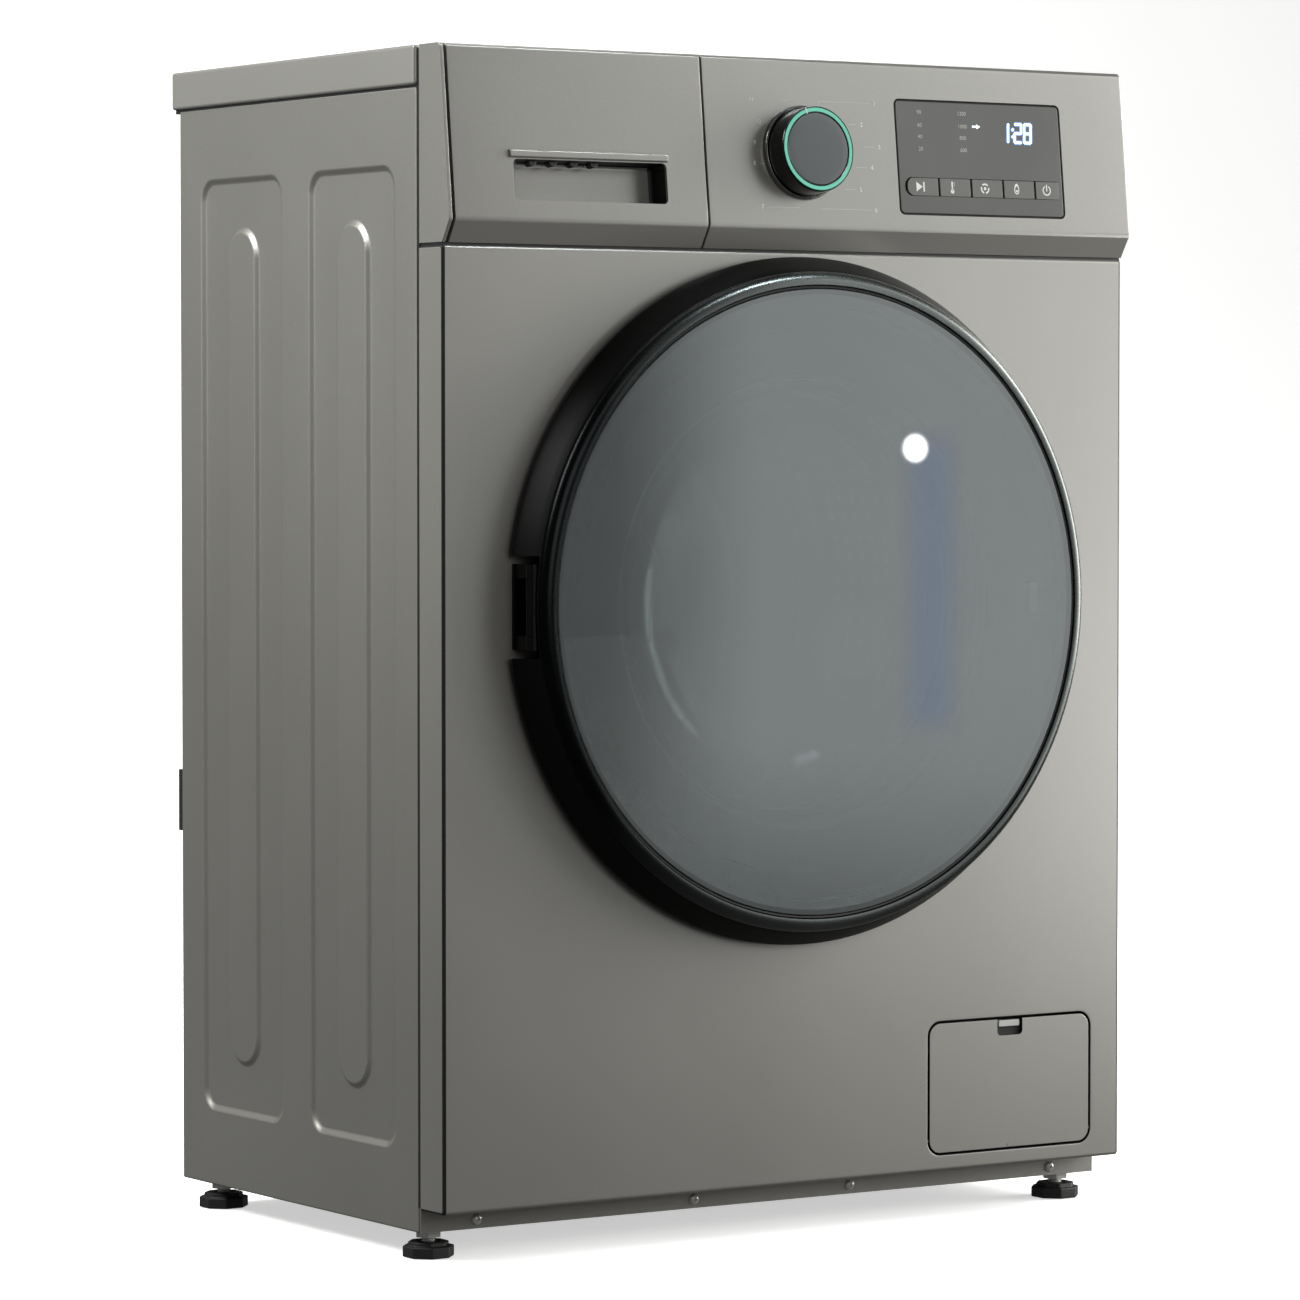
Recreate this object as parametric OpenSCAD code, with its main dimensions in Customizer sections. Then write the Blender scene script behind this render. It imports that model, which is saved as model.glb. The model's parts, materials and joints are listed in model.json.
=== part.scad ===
// Front loading laundry washing machine: pressed steel cabinet, round glass door, suspended tub and drum.
// Millimetres, +Z up. The front faces -Y, and the origin is under the middle of the whole machine.

/* [Cabinet] */
// Width over the side panels
cabinet_w = 595; // [570:1:640]
// Height from the floor to the worktop
cabinet_h = 850; // [840:1:880]
// Depth from the front panel's face to the rear edge of the side panels
body_depth = 380; // [375:1:430]
// Thickness of the cabinet's sheet steel
sheet = 1; // [0.8:0.1:1.2]
// Depth of the front panel's turned edges
wrap_depth = 31.5; // [29:0.5:34]
// Open seam between the front wrap and the side panels
seam = 1; // [0.8:0.1:1.5]
// Height of the base's underside over the floor
base_z = 20; // [18:1:26]
// Height of the front panel's lower edge
front_low_z = 36; // [34:1:44]
// Width of the side panels' turned edges
flange = 10; // [8:1:11]
// Width of the side panels' floor flange, which carries the dampers
floor_flange = 52; // [48:1:60]
// Depth of the sheets that carry the feet
foot_sheet = 52; // [46:1:60]

/* [Side panel ribs] */
// Distance from the front edge of a side panel to the first field
rib_front_in = 31; // [24:0.5:40]
// Distance from the last field to the rear edge of a side panel
rib_rear_in = 32.5; // [24:0.5:40]
// Distance between the two fields
rib_between = 38; // [30:0.5:50]
// Distance from the base to the lower end of a field
rib_low_in = 55; // [40:0.5:80]
// Distance from the upper end of a field to the worktop
rib_top_in = 52.5; // [40:0.5:80]
// Corner radius of a rib field
rib_r = 17; // [12:1:24]
// Depth that a field is pressed inwards
rib_depth = 2.6; // [1.5:0.1:3.5]
// Run of a field's sloping wall
rib_run = 5.5; // [3:0.5:7]
// Distance from a side of a field to the raised bead inside it
bead_side_in = 37.25; // [30:0.25:42]
// Distance from an end of a field to the raised bead inside it
bead_end_in = 37; // [30:0.5:60]

/* [Worktop] */
// Thickness of the worktop
lid_t = 28.5; // [24:0.5:34]
// Overhang of the worktop past each side
lid_over = 2.5; // [1:0.5:4]
// Overhang of the worktop past the rear edge
lid_rear_over = 8; // [2:1:12]
// Thickness of the worktop's board
lid_board = 18; // [14:1:22]
// Width of the worktop's edge frame
lid_rim = 16; // [13:1:24]

/* [Control panel] */
// Height of the control panel
fascia_h = 138; // [134:1:145]
// Setback of the face's top edge
face_top_y = 3; // [1:0.5:5]
// Distance that the face's lower edge stands out
face_out = 10; // [6:0.5:14]
// Height of the sloping return under the face
chin_h = 16; // [10:1:20]
// Wall of the control panel
fascia_wall = 3; // [2.6:0.1:3.4]
// Cut-back of the face's top edge
face_edge = 2; // [1:0.5:3]
// Place of the split between the drawer front and the fascia
split_x = -81; // [-84:1:-60]
// Gap round the drawer front
front_gap = 0.7; // [0.5:0.1:1]
// Depth of the wall behind the drawer front
bay_y = 24.5; // [24:0.5:26]

/* [Display and buttons] */
// Width of the display window
window_w = 150.5; // [149:0.5:156]
// Height of the display window
window_h = 84; // [80:0.5:86]
// Corner radius of the display window
window_r = 4; // [2:0.5:6]
// Thickness of the display window
window_t = 2; // [1.6:0.1:2.2]
// Distance from the display window to the right side of the cabinet
window_in = 60; // [56:0.1:66]
// Distance from the worktop's face down to the middle of the knob and window
dial_drop = 68.2; // [66:0.1:70]
// Distance from the left edge of the window to the row of buttons
button_in = 5.8; // [4:0.1:8]
// Distance from one button to the next
button_pitch = 29.3; // [28:0.1:29.5]
// Width of the last button
button_last = 23; // [18:0.5:23]
// Height of the buttons
button_h = 13.4; // [11:0.1:14]
// Distance from the middle of the window down to the middle of the buttons
button_drop = 21.6; // [20:0.1:24]
// Travel of a button
button_travel = 1; // [0.6:0.1:1.2]
// Gap round a button
button_gap = 0.25; // [0.2:0.05:0.4]

/* [Knob] */
// Middle of the knob across the machine
knob_x = 2.5; // [-10:0.5:15]
// Radius of the knob
knob_r = 31.7; // [28:0.1:33]
// Distance from the face to the front of the knob
knob_reach = 21; // [18:0.5:25]
// Radius of the fixed bezel
bezel_r = 34.3; // [34:0.1:38]
// Height of the fixed bezel
bezel_t = 4; // [3:0.5:6]
// Middle radius of the coloured ring
ring_r = 28.4; // [26.5:0.1:28.8]
// Width of the coloured ring
ring_w = 3; // [2:0.5:3]
// Radius of the knob's stem
stem_r = 3; // [2.5:0.5:4]

/* [Detergent drawer] */
// Width of the pull recess
pull_w = 127.5; // [110:0.5:135]
// Shift of the pull recess and tray from the middle of the drawer front
pull_shift = 10; // [8:0.5:12]
// Distance from the face's lower edge up to the pull recess
pull_up = 14; // [12:1:18]
// Height of the pull recess
pull_h = 29; // [24:1:30]
// Depth of the pull recess behind the front plane
pull_depth = 14; // [10:1:16]
// Height of the raised lip over the recess
lip_h = 6.5; // [4:0.5:8]
// Distance that the lip stands out
lip_out = 2.5; // [1:0.5:4]
// Width of the tray
tray_w = 160; // [140:1:166]
// Length of the tray
tray_len = 190; // [160:1:195]
// Height of the tray
tray_h = 55; // [45:1:58]
// Distance from the control panel's underside up to the tray
tray_up = 21; // [19:1:26]
// Wall of the tray and of its housing
tray_wall = 2; // [1.6:0.1:2.5]

/* [Door] */
// Height of the middle of the door, tub and drum
door_z = 459; // [452:1:461]
// Radius of the door frame at the panel
door_r = 248; // [244:0.5:249]
// Radius of the door frame's front edge
door_front_r = 237; // [234:0.5:240]
// Radius of the outer window
pane_r = 226.6; // [222:0.1:228]
// Depth of the door frame in front of the panel
frame_front = 28; // [26:0.5:30]
// Gap between the door and the panel
door_gap = 3; // [3:0.1:3.6]
// Thickness of the outer window's edge
pane_edge = 7; // [5:0.5:9]
// Thickness of the outer window
pane_t = 4; // [3:0.5:4.5]
// Rise of the outer window's dome
pane_rise = 6; // [3:0.5:9]
// Height of the trim ring
trim_h = 7.5; // [6:0.5:9]
// Mouth radius of the glass bowl
bowl_r = 158; // [150:0.5:159]
// Depth of the glass bowl behind the panel
bowl_depth = 86; // [60:1:88]
// Wall of the glass bowl
bowl_wall = 5; // [4:0.5:6]
// Distance of the hinge pin from the middle of the door
hinge_x = 236; // [235:0.5:237]
// Distance of the hinge pin in front of the panel
hinge_out = 20; // [20:0.5:21]
// Radius of the hinge pin
hinge_pin_r = 3; // [2.5:0.5:3]
// Distance of the latch from the middle of the door
latch_x = 206; // [204:0.5:208]

/* [Tub and drum] */
// Inner radius of the tub
tub_r = 250; // [246:0.5:252]
// Wall of the tub
tub_wall = 4; // [3:0.5:5]
// Depth of the tub's front wall
tub_front_y = 62; // [60:1:66]
// Depth of the joint between the tub's halves
tub_split_y = 150; // [130:1:180]
// Distance from the tub's rear wall to the rear edge of the cabinet
tub_rear_in = 54; // [48:1:56]
// Radius of the tub's mouth
mouth_r = 165; // [164:0.5:168]
// Gap between the drum and the tub's wall
drum_gap = 15; // [14:0.5:25]
// Sheet of the drum
drum_t = 1.5; // [1:0.1:2]
// Gap between the drum and the tub's front wall
drum_front_gap = 12; // [8:1:16]
// Radius of the drum's mouth
drum_mouth_r = 155; // [145:0.5:158]
// Height of the lifters inside the drum
lifter_h = 46; // [36:1:48]
// Radius of the drum shaft
shaft_r = 12.5; // [10:0.5:13]
// Outer radius of the bearings
bearing_r = 31; // [28:0.5:34]
// Width of a bearing
bearing_w = 17; // [14:0.5:18]
// Radius of the drum pulley
pulley_r = 140; // [125:0.5:144]
// Radius of the motor pulley
motor_pulley_r = 12; // [10:0.5:16]
// Width of the belt
belt_w = 12; // [9:0.5:13]
// Thickness of the belt
belt_t = 3; // [2:0.5:4]
// Radius of the motor
motor_r = 58; // [50:0.5:60]
// Place of the motor across the machine
motor_x = 40; // [0:1:60]
// Height of the motor's axis
motor_z = 118; // [116:1:122]

/* [Suspension] */
// Distance of a spring from the middle plane
spring_x = 190; // [180:1:196]
// Middle radius of a spring's coil
spring_r = 10; // [8:0.5:12]
// Radius of the spring wire
wire_r = 1.5; // [1.2:0.1:1.8]
// Number of turns of a spring
spring_turns = 16; // [10:1:18]
// Radius of a damper's cylinder
damper_r = 14; // [12:0.5:16]

/* [Drain] */
// Distance from the drain flap's opening to the right side of the cabinet
flap_in = 27.2; // [22:0.1:37]
// Width of the drain flap's opening
flap_w = 151; // [145:0.5:154]
// Height of the drain flap's opening
flap_h = 99.2; // [96:0.1:102]
// Height of the opening's lower edge
flap_z = 47.5; // [47:0.5:49]
// Corner radius of the opening
flap_r = 11; // [8:0.5:14]
// Gap round the drain flap
flap_gap = 1.2; // [1:0.1:1.6]
// Thickness of the drain flap
flap_t = 2.5; // [2:0.1:3]
// Width of the finger slot
slot_w = 23.3; // [18:0.1:28]
// Height of the finger slot
slot_h = 11.5; // [8:0.5:14]
// Inner radius of the pump's mouth
pump_r = 30; // [26:0.5:31]

/* [Feet and fittings] */
// Distance of the feet from the sides of the cabinet
foot_in = 19.5; // [17.5:0.5:25.5]
// Distance from the front panel's face to the front feet
foot_front_y = 53; // [50:1:58]
// Distance from the rear edge to the rear feet
foot_rear_in = 28; // [26:1:32]
// Radius of a foot's pad
foot_r = 18.5; // [16:0.5:19]
// Height of a foot's pad
foot_h = 11; // [9:0.5:12]
// Radius of a foot's threaded stem
foot_stem_r = 5; // [4:0.5:6]
// Height of a lock nut
nut_h = 6; // [5:0.5:7]
// Radius of a screw's head
screw_head_r = 4; // [3.5:0.1:4.4]
// Radius of a screw's shank
screw_r = 2; // [1.5:0.1:2.2]
// Radius of the water inlet's thread
inlet_r = 13.2; // [13:0.1:13.4]
// Distance that the hose fittings stand out behind the rear edge
fitting_reach = 14; // [13:1:20]
// Radius of the drain spigot
drain_r = 10.5; // [9:0.5:12]
// Radius of the mains cord's hole in its gland
cord_r = 4.2; // [3.5:0.1:5]

/* [Hidden] */
$fn = 64;

// Clearances
eps = 0.01;
running = 0.05;
gap = 0.3;

// Colours
paint = "#8f8f8a";
lid_paint = "#999994";
dark = "#2a2b2a";
smoke = "#4b5151";
steel = "#c4c6c7";
white = "#e4e4e0";
grey = "#74776f";
black = "#151515";

// Places that several pieces share
half_w = cabinet_w / 2;
side_y = wrap_depth + seam;
lid_z = cabinet_h - lid_t;
lid_rear = body_depth + lid_rear_over;
fascia_z = cabinet_h - fascia_h;
nose_z = fascia_z + chin_h;
rib_w = (body_depth - side_y - rib_front_in - rib_rear_in - rib_between) / 2;
rib_h = lid_z - base_z - rib_low_in - rib_top_in;
rib_z = base_z + rib_low_in + rib_h / 2;
rib_front_y = side_y + rib_front_in + rib_w / 2;
rib_pitch = rib_w + rib_between;
bead_w = rib_w - 2 * bead_side_in;
bead_h = rib_h - 2 * bead_end_in;
window_x = half_w - window_in - window_w / 2;
dial_z = cabinet_h - dial_drop;
button_x = window_x - window_w / 2 + button_in;
button_z = dial_z - button_drop;
pull_x = (split_x - half_w) / 2 + pull_shift;
pull_z = nose_z + pull_up;
tray_z = fascia_z + tray_up;
tub_rear_y = body_depth - tub_rear_in;
drum_r = tub_r - drum_gap;
flap_x = half_w - flap_in - flap_w / 2;
foot_x = half_w - foot_in;
lean = atan2(face_top_y + face_out, cabinet_h - nose_z);
rear_in = body_depth - 2 * sheet;
rear_face = body_depth - sheet;
rear_reach = body_depth + fitting_reach;
front_reach = frame_front + pane_edge + pane_rise;
frame_y = (rear_reach - front_reach) / 2;
foot_rear_y = body_depth - foot_rear_in;
foot_hole_r = foot_stem_r + 0.6;
porthole_r = mouth_r + 13;
service_r = pulley_r + 12;
cover_r = service_r + 20;
screw_ring_r = service_r + 11;
screw_len = 8;
screw_hole_r = screw_r + 0.1;
screw_head_h = 2.5;
kick_screw_x = [46.5 - half_w, -67, 71, half_w - 41.5];
kick_screw_z = base_z + 6.5;
edge_screw_x = half_w - flange / 2;
edge_screw_z = [base_z + 80, rib_z - 2, lid_z - 81.5];
lock_box = [46, 60, 23];
lock_slot = [26, 24];
lock_x = latch_x + 9;
hook_slot_x = latch_x + 3;
inlet_x = half_w - 72.5;
inlet_z = cabinet_h - 75;
inlet_hole_r = inlet_r + 1.2;
gland_x = half_w - 82.5;
gland_z = 120;
gland_r = 9.8;
outlet_x = 82.5 - half_w;
outlet_z = 120;
cap_r = 12;
cap_x = 190;
cap_dz = 168;
spring_y = tub_rear_y - 64;
spring_top_z = cabinet_h - 60;
spring_low_z = door_z + 209;
bracket_t = 3;
spring_rings = 8;
spring_sides = 6;
spring_len = spring_top_z - spring_low_z - 2 * gap;
spring_last = spring_turns * spring_rings;
spring_rise = spring_len - 2 * wire_r;
damper_y = 200;
damper_x = half_w - 35;
damper_top_x = tub_r - 54;
damper_top_z = door_z - 197;
lug_root = 60;
clip_z = [282, 328];
pump_z = flap_z + flap_h / 2;
flap_hinge_y = flap_t + 0.1;
flap_hinge_z = flap_z + flap_r;
flap_peg_r = 1.5;
flap_eye = 5;
hub_len = 2 * bearing_w + 4;
hub_y = tub_rear_y - 18;
drum_rear_y = hub_y - 12;
spider_t = 11;
pulley_w = 16;
pulley_y = hub_y + hub_len + 4;
motor_front_y = tub_rear_y - 100;
motor_shaft_r = 6;
heater_x = 30;
heater_r = 4;
heater_z = door_z - sqrt(pow((tub_r + drum_r) / 2, 2) - pow(heater_x, 2));
frame_plate = 8;
cheek_z = 12;
cheek_t = 3;
latch_out = 10;
latch_pin_r = 1.5;
hinge_front = 1;
notch_z = 36;
notch_in = 14;
ear_z = 20;
grip_z = 52;
bowl_power = 2.1;
bowl_steps = 12;
dome_steps = 12;
window_proud = 0.2;
window_gap = 0.2;
button_proud = 0.5;
board_back = 13;
digits_x = 28;
digits_z = 17;
board_t = 1.6;
board_h = 76;
board_x0 = knob_x - 30;
board_x1 = window_x + window_w / 2 - 2;

function face_y(z) = face_top_y - (cabinet_h - z) * tan(lean);
function arc(c, r, from, to, steps) =
    [for (i = [0:steps]) c + r * [cos(from + (to - from) * i / steps), sin(from + (to - from) * i / steps)]];
function ring_x(a) = screw_ring_r * cos(a);
function ring_z(a) = door_z + screw_ring_r * sin(a);
function button_left(i) = button_x + i * button_pitch;
function button_width(i) = i == 4 ? button_last : button_pitch;

// Moves a piece from the front panel's plane to the machine's own origin
module placed() {
    translate([0, -frame_y, 0]) children();
}

// Box between two corners
module block(low, high) {
    translate(low) cube(high - low);
}

// Section in Y and Z, drawn out along X
module along_x(from, to) {
    translate([from, 0, 0]) rotate([90, 0, 90]) linear_extrude(to - from) children();
}

// Cylinder along Y between two depths
module rod_y(x, z, r, from, to) {
    translate([x, from, z]) rotate([-90, 0, 0]) cylinder(r = r, h = to - from);
}

// Profile of radius and depth, turned about the axis of the door and drum
module turned(points) {
    translate([0, 0, door_z]) rotate([-90, 0, 0]) rotate_extrude($fn = 128) polygon(points);
}

// Plate with round corners, its middle at the origin, its underside on z 0
module round_plate(w, h, r, t) {
    translate([-w / 2, r - h / 2, 0]) cube([w, h - 2 * r, t]);
    translate([r - w / 2, -h / 2, 0]) cube([w - 2 * r, h, t]);
    for (x = [-1, 1], y = [-1, 1]) {
        translate([x * (w / 2 - r), y * (h / 2 - r), 0]) cylinder(r = r, h = t);
    }
}

// Plate with round corners and sloping sides, w by h at z 0 and narrower by run on every side at z t
module sloped_plate(w, h, r, run, t) {
    a = w / 2 - r;
    b = h / 2 - r;
    if (b > 0) {
        rotate([90, 0, 0]) linear_extrude(2 * b, center = true)
            polygon([[-a - r, 0], [a + r, 0], [a + r - run, t], [run - a - r, t]]);
    }
    if (a > 0) {
        rotate([90, 0, 90]) linear_extrude(2 * a, center = true)
            polygon([[-b - r, 0], [b + r, 0], [b + r - run, t], [run - b - r, t]]);
    }
    for (x = a > 0 ? [-1, 1] : [0], y = [-1, 1]) {
        translate([x * a, y * b, 0]) cylinder(r1 = r, r2 = r - run, h = t);
    }
}

// Local frame on the sloping face: x across, y up the face, z out of it
module on_face(x, z) {
    translate([x, face_y(z), z]) rotate([90 - lean, 0, 0]) children();
}

// One pressed field of a left side panel, seen as the part of the sheet that it adds or takes away
module field_place(y) {
    translate([-half_w, y, rib_z]) rotate([90, 0, 90]) children();
}

module field_back() {
    sloped_plate(rib_w + 2 * sheet, rib_h + 2 * sheet, rib_r + sheet, rib_run, rib_depth + sheet);
}

module field_cut() {
    translate([0, 0, -eps]) sloped_plate(rib_w, rib_h, rib_r, rib_run, rib_depth + eps);
}

module bead() {
    w = bead_w + 2 * sheet;
    translate([0, 0, rib_depth + sheet]) mirror([0, 0, 1])
        sloped_plate(w, bead_h + 2 * sheet, w / 2, rib_run, rib_depth + sheet);
}

module bead_cut() {
    translate([0, 0, rib_depth + sheet + eps]) mirror([0, 0, 1])
        sloped_plate(bead_w, bead_h, bead_w / 2, rib_run, rib_depth + eps);
}

// Left side panel with its turned edges and the bracket of the spring
module side_panel() {
    difference() {
        union() {
            difference() {
                union() {
                    block([-half_w, side_y, base_z], [-half_w + sheet, body_depth, lid_z]);
                    for (y = [rib_front_y, rib_front_y + rib_pitch]) {
                        field_place(y) field_back();
                    }
                }
                for (y = [rib_front_y, rib_front_y + rib_pitch]) {
                    field_place(y) field_cut();
                }
            }
            for (y = [rib_front_y, rib_front_y + rib_pitch]) {
                field_place(y) bead();
            }
            block([-half_w, side_y, base_z], [-half_w + flange, side_y + sheet, lid_z]);
            block([-half_w, rear_face, base_z], [-half_w + flange, body_depth, lid_z]);
            block([-half_w, side_y, lid_z - sheet], [-half_w + flange, body_depth, lid_z]);
            block([-half_w, side_y, base_z], [-half_w + floor_flange, body_depth, base_z + sheet]);
            translate([0, spring_y, spring_top_z]) {
                block([-half_w, -15, 0], [-spring_x + 16, 15, bracket_t]);
                along_y_web();
            }
        }
        for (y = [rib_front_y, rib_front_y + rib_pitch]) {
            field_place(y) bead_cut();
        }
        for (y = [foot_front_y, foot_rear_y]) {
            translate([-foot_x, y, base_z - 1]) cylinder(r = foot_hole_r, h = sheet + 2);
        }
        for (z = edge_screw_z) {
            rod_y(-edge_screw_x, z, screw_hole_r, rear_face - 1, body_depth + 1);
        }
    }
}

// Upright web under the spring bracket
module along_y_web() {
    rotate([90, 0, 0]) linear_extrude(bracket_t, center = true)
        polygon([[-half_w, 0], [-half_w, -24], [-half_w + 4, -24], [-spring_x - 22, 0]]);
}

module left_side_panel() {
    color(paint) placed() side_panel();
}

module right_side_panel() {
    color(paint) placed() mirror([1, 0, 0]) side_panel();
}

// Rear sheet, folded under to carry the rear feet
module rear_panel() {
    side = half_w - sheet - gap;
    floor_z = base_z + sheet;
    color(paint) placed() difference() {
        union() {
            block([-side, rear_in, floor_z], [side, rear_face, lid_z - sheet - gap]);
            block([-side, body_depth - foot_sheet, floor_z], [side, rear_face, floor_z + sheet]);
        }
        rod_y(0, door_z, service_r, rear_in - 1, rear_face + 1);
        for (a = [0:60:300]) {
            rod_y(ring_x(a), ring_z(a), screw_hole_r, rear_in - 1, rear_face + 1);
        }
        for (s = [-1, 1], z = edge_screw_z) {
            rod_y(s * edge_screw_x, z, screw_hole_r, rear_in - 1, rear_face + 1);
        }
        for (s = [-1, 1], t = [-1, 1]) {
            rod_y(s * cap_x, door_z + t * cap_dz, cap_r + gap, rear_in - 1, rear_face + 1);
        }
        for (s = [-1, 1]) {
            translate([s * foot_x, foot_rear_y, base_z]) cylinder(r = foot_stem_r + running, h = 4 * sheet);
        }
        rod_y(inlet_x, inlet_z, inlet_hole_r, rear_in - 1, rear_face + 1);
        rod_y(gland_x, gland_z, gland_r + gap, rear_in - 1, rear_face + 1);
        rod_y(outlet_x, outlet_z, drain_r + gap, rear_in - 1, rear_face + 1);
    }
}

// Round dished cover over the drum pulley
module service_cover() {
    dish = 5;
    top_y = rear_face + dish;
    color(paint) placed() difference() {
        turned([
            [0, top_y + sheet], [service_r - 8, top_y + sheet], [service_r + 2, body_depth],
            [cover_r, body_depth], [cover_r, rear_face], [service_r + 1, rear_face],
            [service_r - 9, top_y], [0, top_y]
        ]);
        for (a = [0:60:300]) {
            rod_y(ring_x(a), ring_z(a), screw_hole_r, rear_in, body_depth + 1);
        }
    }
}

// Screw along Y with its head against the depth y, the head on the side given by way
module screw_y(x, y, z, way) {
    translate([x, y, z]) rotate([way * -90, 0, 0]) {
        cylinder(r = screw_head_r, h = screw_head_h);
        translate([0, 0, -screw_len]) cylinder(r = screw_r, h = screw_len + eps);
    }
}

// Screws of the kick rail, of the rear sheet's edges and of the service cover
module cabinet_screws() {
    color(steel) placed() {
        for (x = kick_screw_x) {
            screw_y(x, wrap_depth, kick_screw_z, -1);
        }
        for (s = [-1, 1], z = edge_screw_z) {
            screw_y(s * edge_screw_x, body_depth, z, 1);
        }
        for (a = [0:60:300]) {
            screw_y(ring_x(a), body_depth, ring_z(a), 1);
        }
    }
}

// Front rail under the front panel, folded back to carry the front feet
module kick_rail() {
    side = half_w - 0.5;
    inner = half_w - flange - 0.5;
    color(paint) placed() difference() {
        union() {
            block([-side, wrap_depth, base_z], [side, side_y, base_z + 38]);
            block([-inner, wrap_depth, base_z + sheet], [inner, wrap_depth + foot_sheet, base_z + 2 * sheet]);
        }
        for (x = kick_screw_x) {
            rod_y(x, kick_screw_z, screw_hole_r, wrap_depth - 1, side_y + 1);
        }
        for (s = [-1, 1]) {
            translate([s * foot_x, foot_front_y, base_z]) cylinder(r = foot_stem_r + running, h = 4 * sheet);
        }
    }
}

// Worktop: a board in a deeper edge frame
module top_lid() {
    side = half_w + lid_over;
    color(lid_paint) placed() difference() {
        block([-side, side_y, lid_z], [side, lid_rear, cabinet_h]);
        block([-side + lid_rim, side_y + lid_rim, lid_z - 1],
            [side - lid_rim, lid_rear - lid_rim, cabinet_h - lid_board]);
    }
}

// Front panel: a tray of sheet with the porthole, the drain opening and the latch slot
module front_panel() {
    color(paint) placed() difference() {
        union() {
            difference() {
                block([-half_w, 0, front_low_z], [half_w, wrap_depth, fascia_z]);
                block([-half_w + sheet, sheet, front_low_z + sheet],
                    [half_w - sheet, wrap_depth + 1, fascia_z - sheet]);
            }
            rod_y(0, door_z, porthole_r + sheet, 0, 9);
            for (s = [-1, 1]) {
                translate([flap_x + s * (flap_w / 2 + flap_eye / 2 - flap_gap / 2), 0, flap_hinge_z])
                    block([-flap_eye / 2, sheet / 2, -4], [flap_eye / 2, flap_hinge_y + 3, 4]);
            }
        }
        rod_y(0, door_z, porthole_r, -1, 10);
        translate([flap_x, -1, pump_z]) rotate([-90, 0, 0])
            round_plate(flap_w, flap_h, flap_r, sheet + 1 + eps);
        block([hook_slot_x - lock_slot.x / 2, -1, door_z - lock_slot.y / 2],
            [hook_slot_x + lock_slot.x / 2, sheet + 1, door_z + lock_slot.y / 2]);
        rod_x(flap_x - flap_w / 2 - flap_eye, flap_x + flap_w / 2 + flap_eye, flap_hinge_y, flap_hinge_z,
            flap_peg_r + running);
    }
}

// Cylinder along X
module rod_x(from, to, y, z, r) {
    translate([from, y, z]) rotate([0, 90, 0]) cylinder(r = r, h = to - from);
}

// Outline of the control panel in Y and Z, inset by a wall and cut off at the depth rear
function fascia_outline(inset, rear) = [
    [rear, cabinet_h - inset],
    [face_top_y + face_edge + inset, cabinet_h - inset],
    [face_y(cabinet_h - face_edge) + inset, cabinet_h - face_edge - inset],
    [-face_out + inset, nose_z + inset * 0.4],
    [inset, fascia_z + inset],
    [rear, fascia_z + inset]
];

// Control panel moulding with the drawer's bay on the left and the controls on the right
module control_panel() {
    bay_left = -half_w + fascia_wall;
    tray_left = pull_x - tray_w / 2;
    color(paint) placed() difference() {
        union() {
            difference() {
                along_x(-half_w, half_w) polygon(fascia_outline(0, wrap_depth));
                along_x(split_x + fascia_wall, half_w - fascia_wall)
                    polygon(fascia_outline(fascia_wall, wrap_depth + 1));
                block([bay_left, -face_out - 1, fascia_z - 1], [split_x, bay_y, cabinet_h + 1]);
                block([bay_left, bay_y + tray_wall, fascia_z + fascia_wall],
                    [split_x, wrap_depth + 1, cabinet_h - fascia_wall]);
            }
            for (x = [board_x0 + 8, board_x1 - 8], y = [-1, 1]) {
                on_face(x, dial_z) translate([0, y * (board_h / 2 - 6), -board_back])
                    cylinder(r = 3, h = board_back - fascia_wall / 2);
            }
        }
        block([tray_left - 1, bay_y - 1, tray_z - gap],
            [tray_left + tray_w + 1, bay_y + 4, tray_z + tray_h + 1]);
        on_face(knob_x, dial_z) translate([0, 0, -fascia_wall - 2])
            cylinder(r = stem_r + 1, h = fascia_wall + 4);
        on_face(window_x, dial_z) translate([0, 0, window_proud - window_t])
            round_plate(window_w, window_h, window_r, window_t + 1);
        button_row(-fascia_wall - 3, 2);
        on_face(window_x + digits_x, dial_z + digits_z) translate([-32, -12, -fascia_wall - 3])
            cube([64, 24, fascia_wall + 4]);
    }
}

// Opening that the row of buttons fills, from one height over the face to another
module button_row(low, high) {
    right = button_left(4) + button_last;
    on_face((button_x + right) / 2, button_z) translate([0, 0, low])
        round_plate(right - button_x, button_h, button_h / 2 - eps, high - low);
}

// Tinted window over the display, open for the buttons
module display_window() {
    color(smoke) placed() difference() {
        on_face(window_x, dial_z) translate([0, 0, window_proud - window_t])
            round_plate(window_w - 2 * window_gap, window_h - 2 * window_gap, window_r - window_gap,
                window_t);
        button_row(-4, 2);
    }
}

// Circuit board with the display block, the push switches and the knob's encoder
module display_board() {
    color("#2d5a3a") placed() {
        on_face((board_x0 + board_x1) / 2, dial_z) translate([0, 0, -board_back - board_t])
            round_plate(board_x1 - board_x0, board_h, 2, board_t);
        on_face(knob_x, dial_z) translate([0, 0, -board_back]) difference() {
            translate([-7, -7, -eps]) cube([14, 14, 6]);
            cylinder(r = stem_r + running, h = 10);
        }
        on_face(window_x + digits_x, dial_z + digits_z) translate([-32, -11, -board_back - eps])
            cube([64, 22, board_back - fascia_wall - 1]);
        for (i = [0:4]) {
            on_face(button_left(i) + button_width(i) / 2, button_z) translate([-3, -3, -board_back - eps])
                cube([6, 6, 3]);
        }
    }
}

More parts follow.
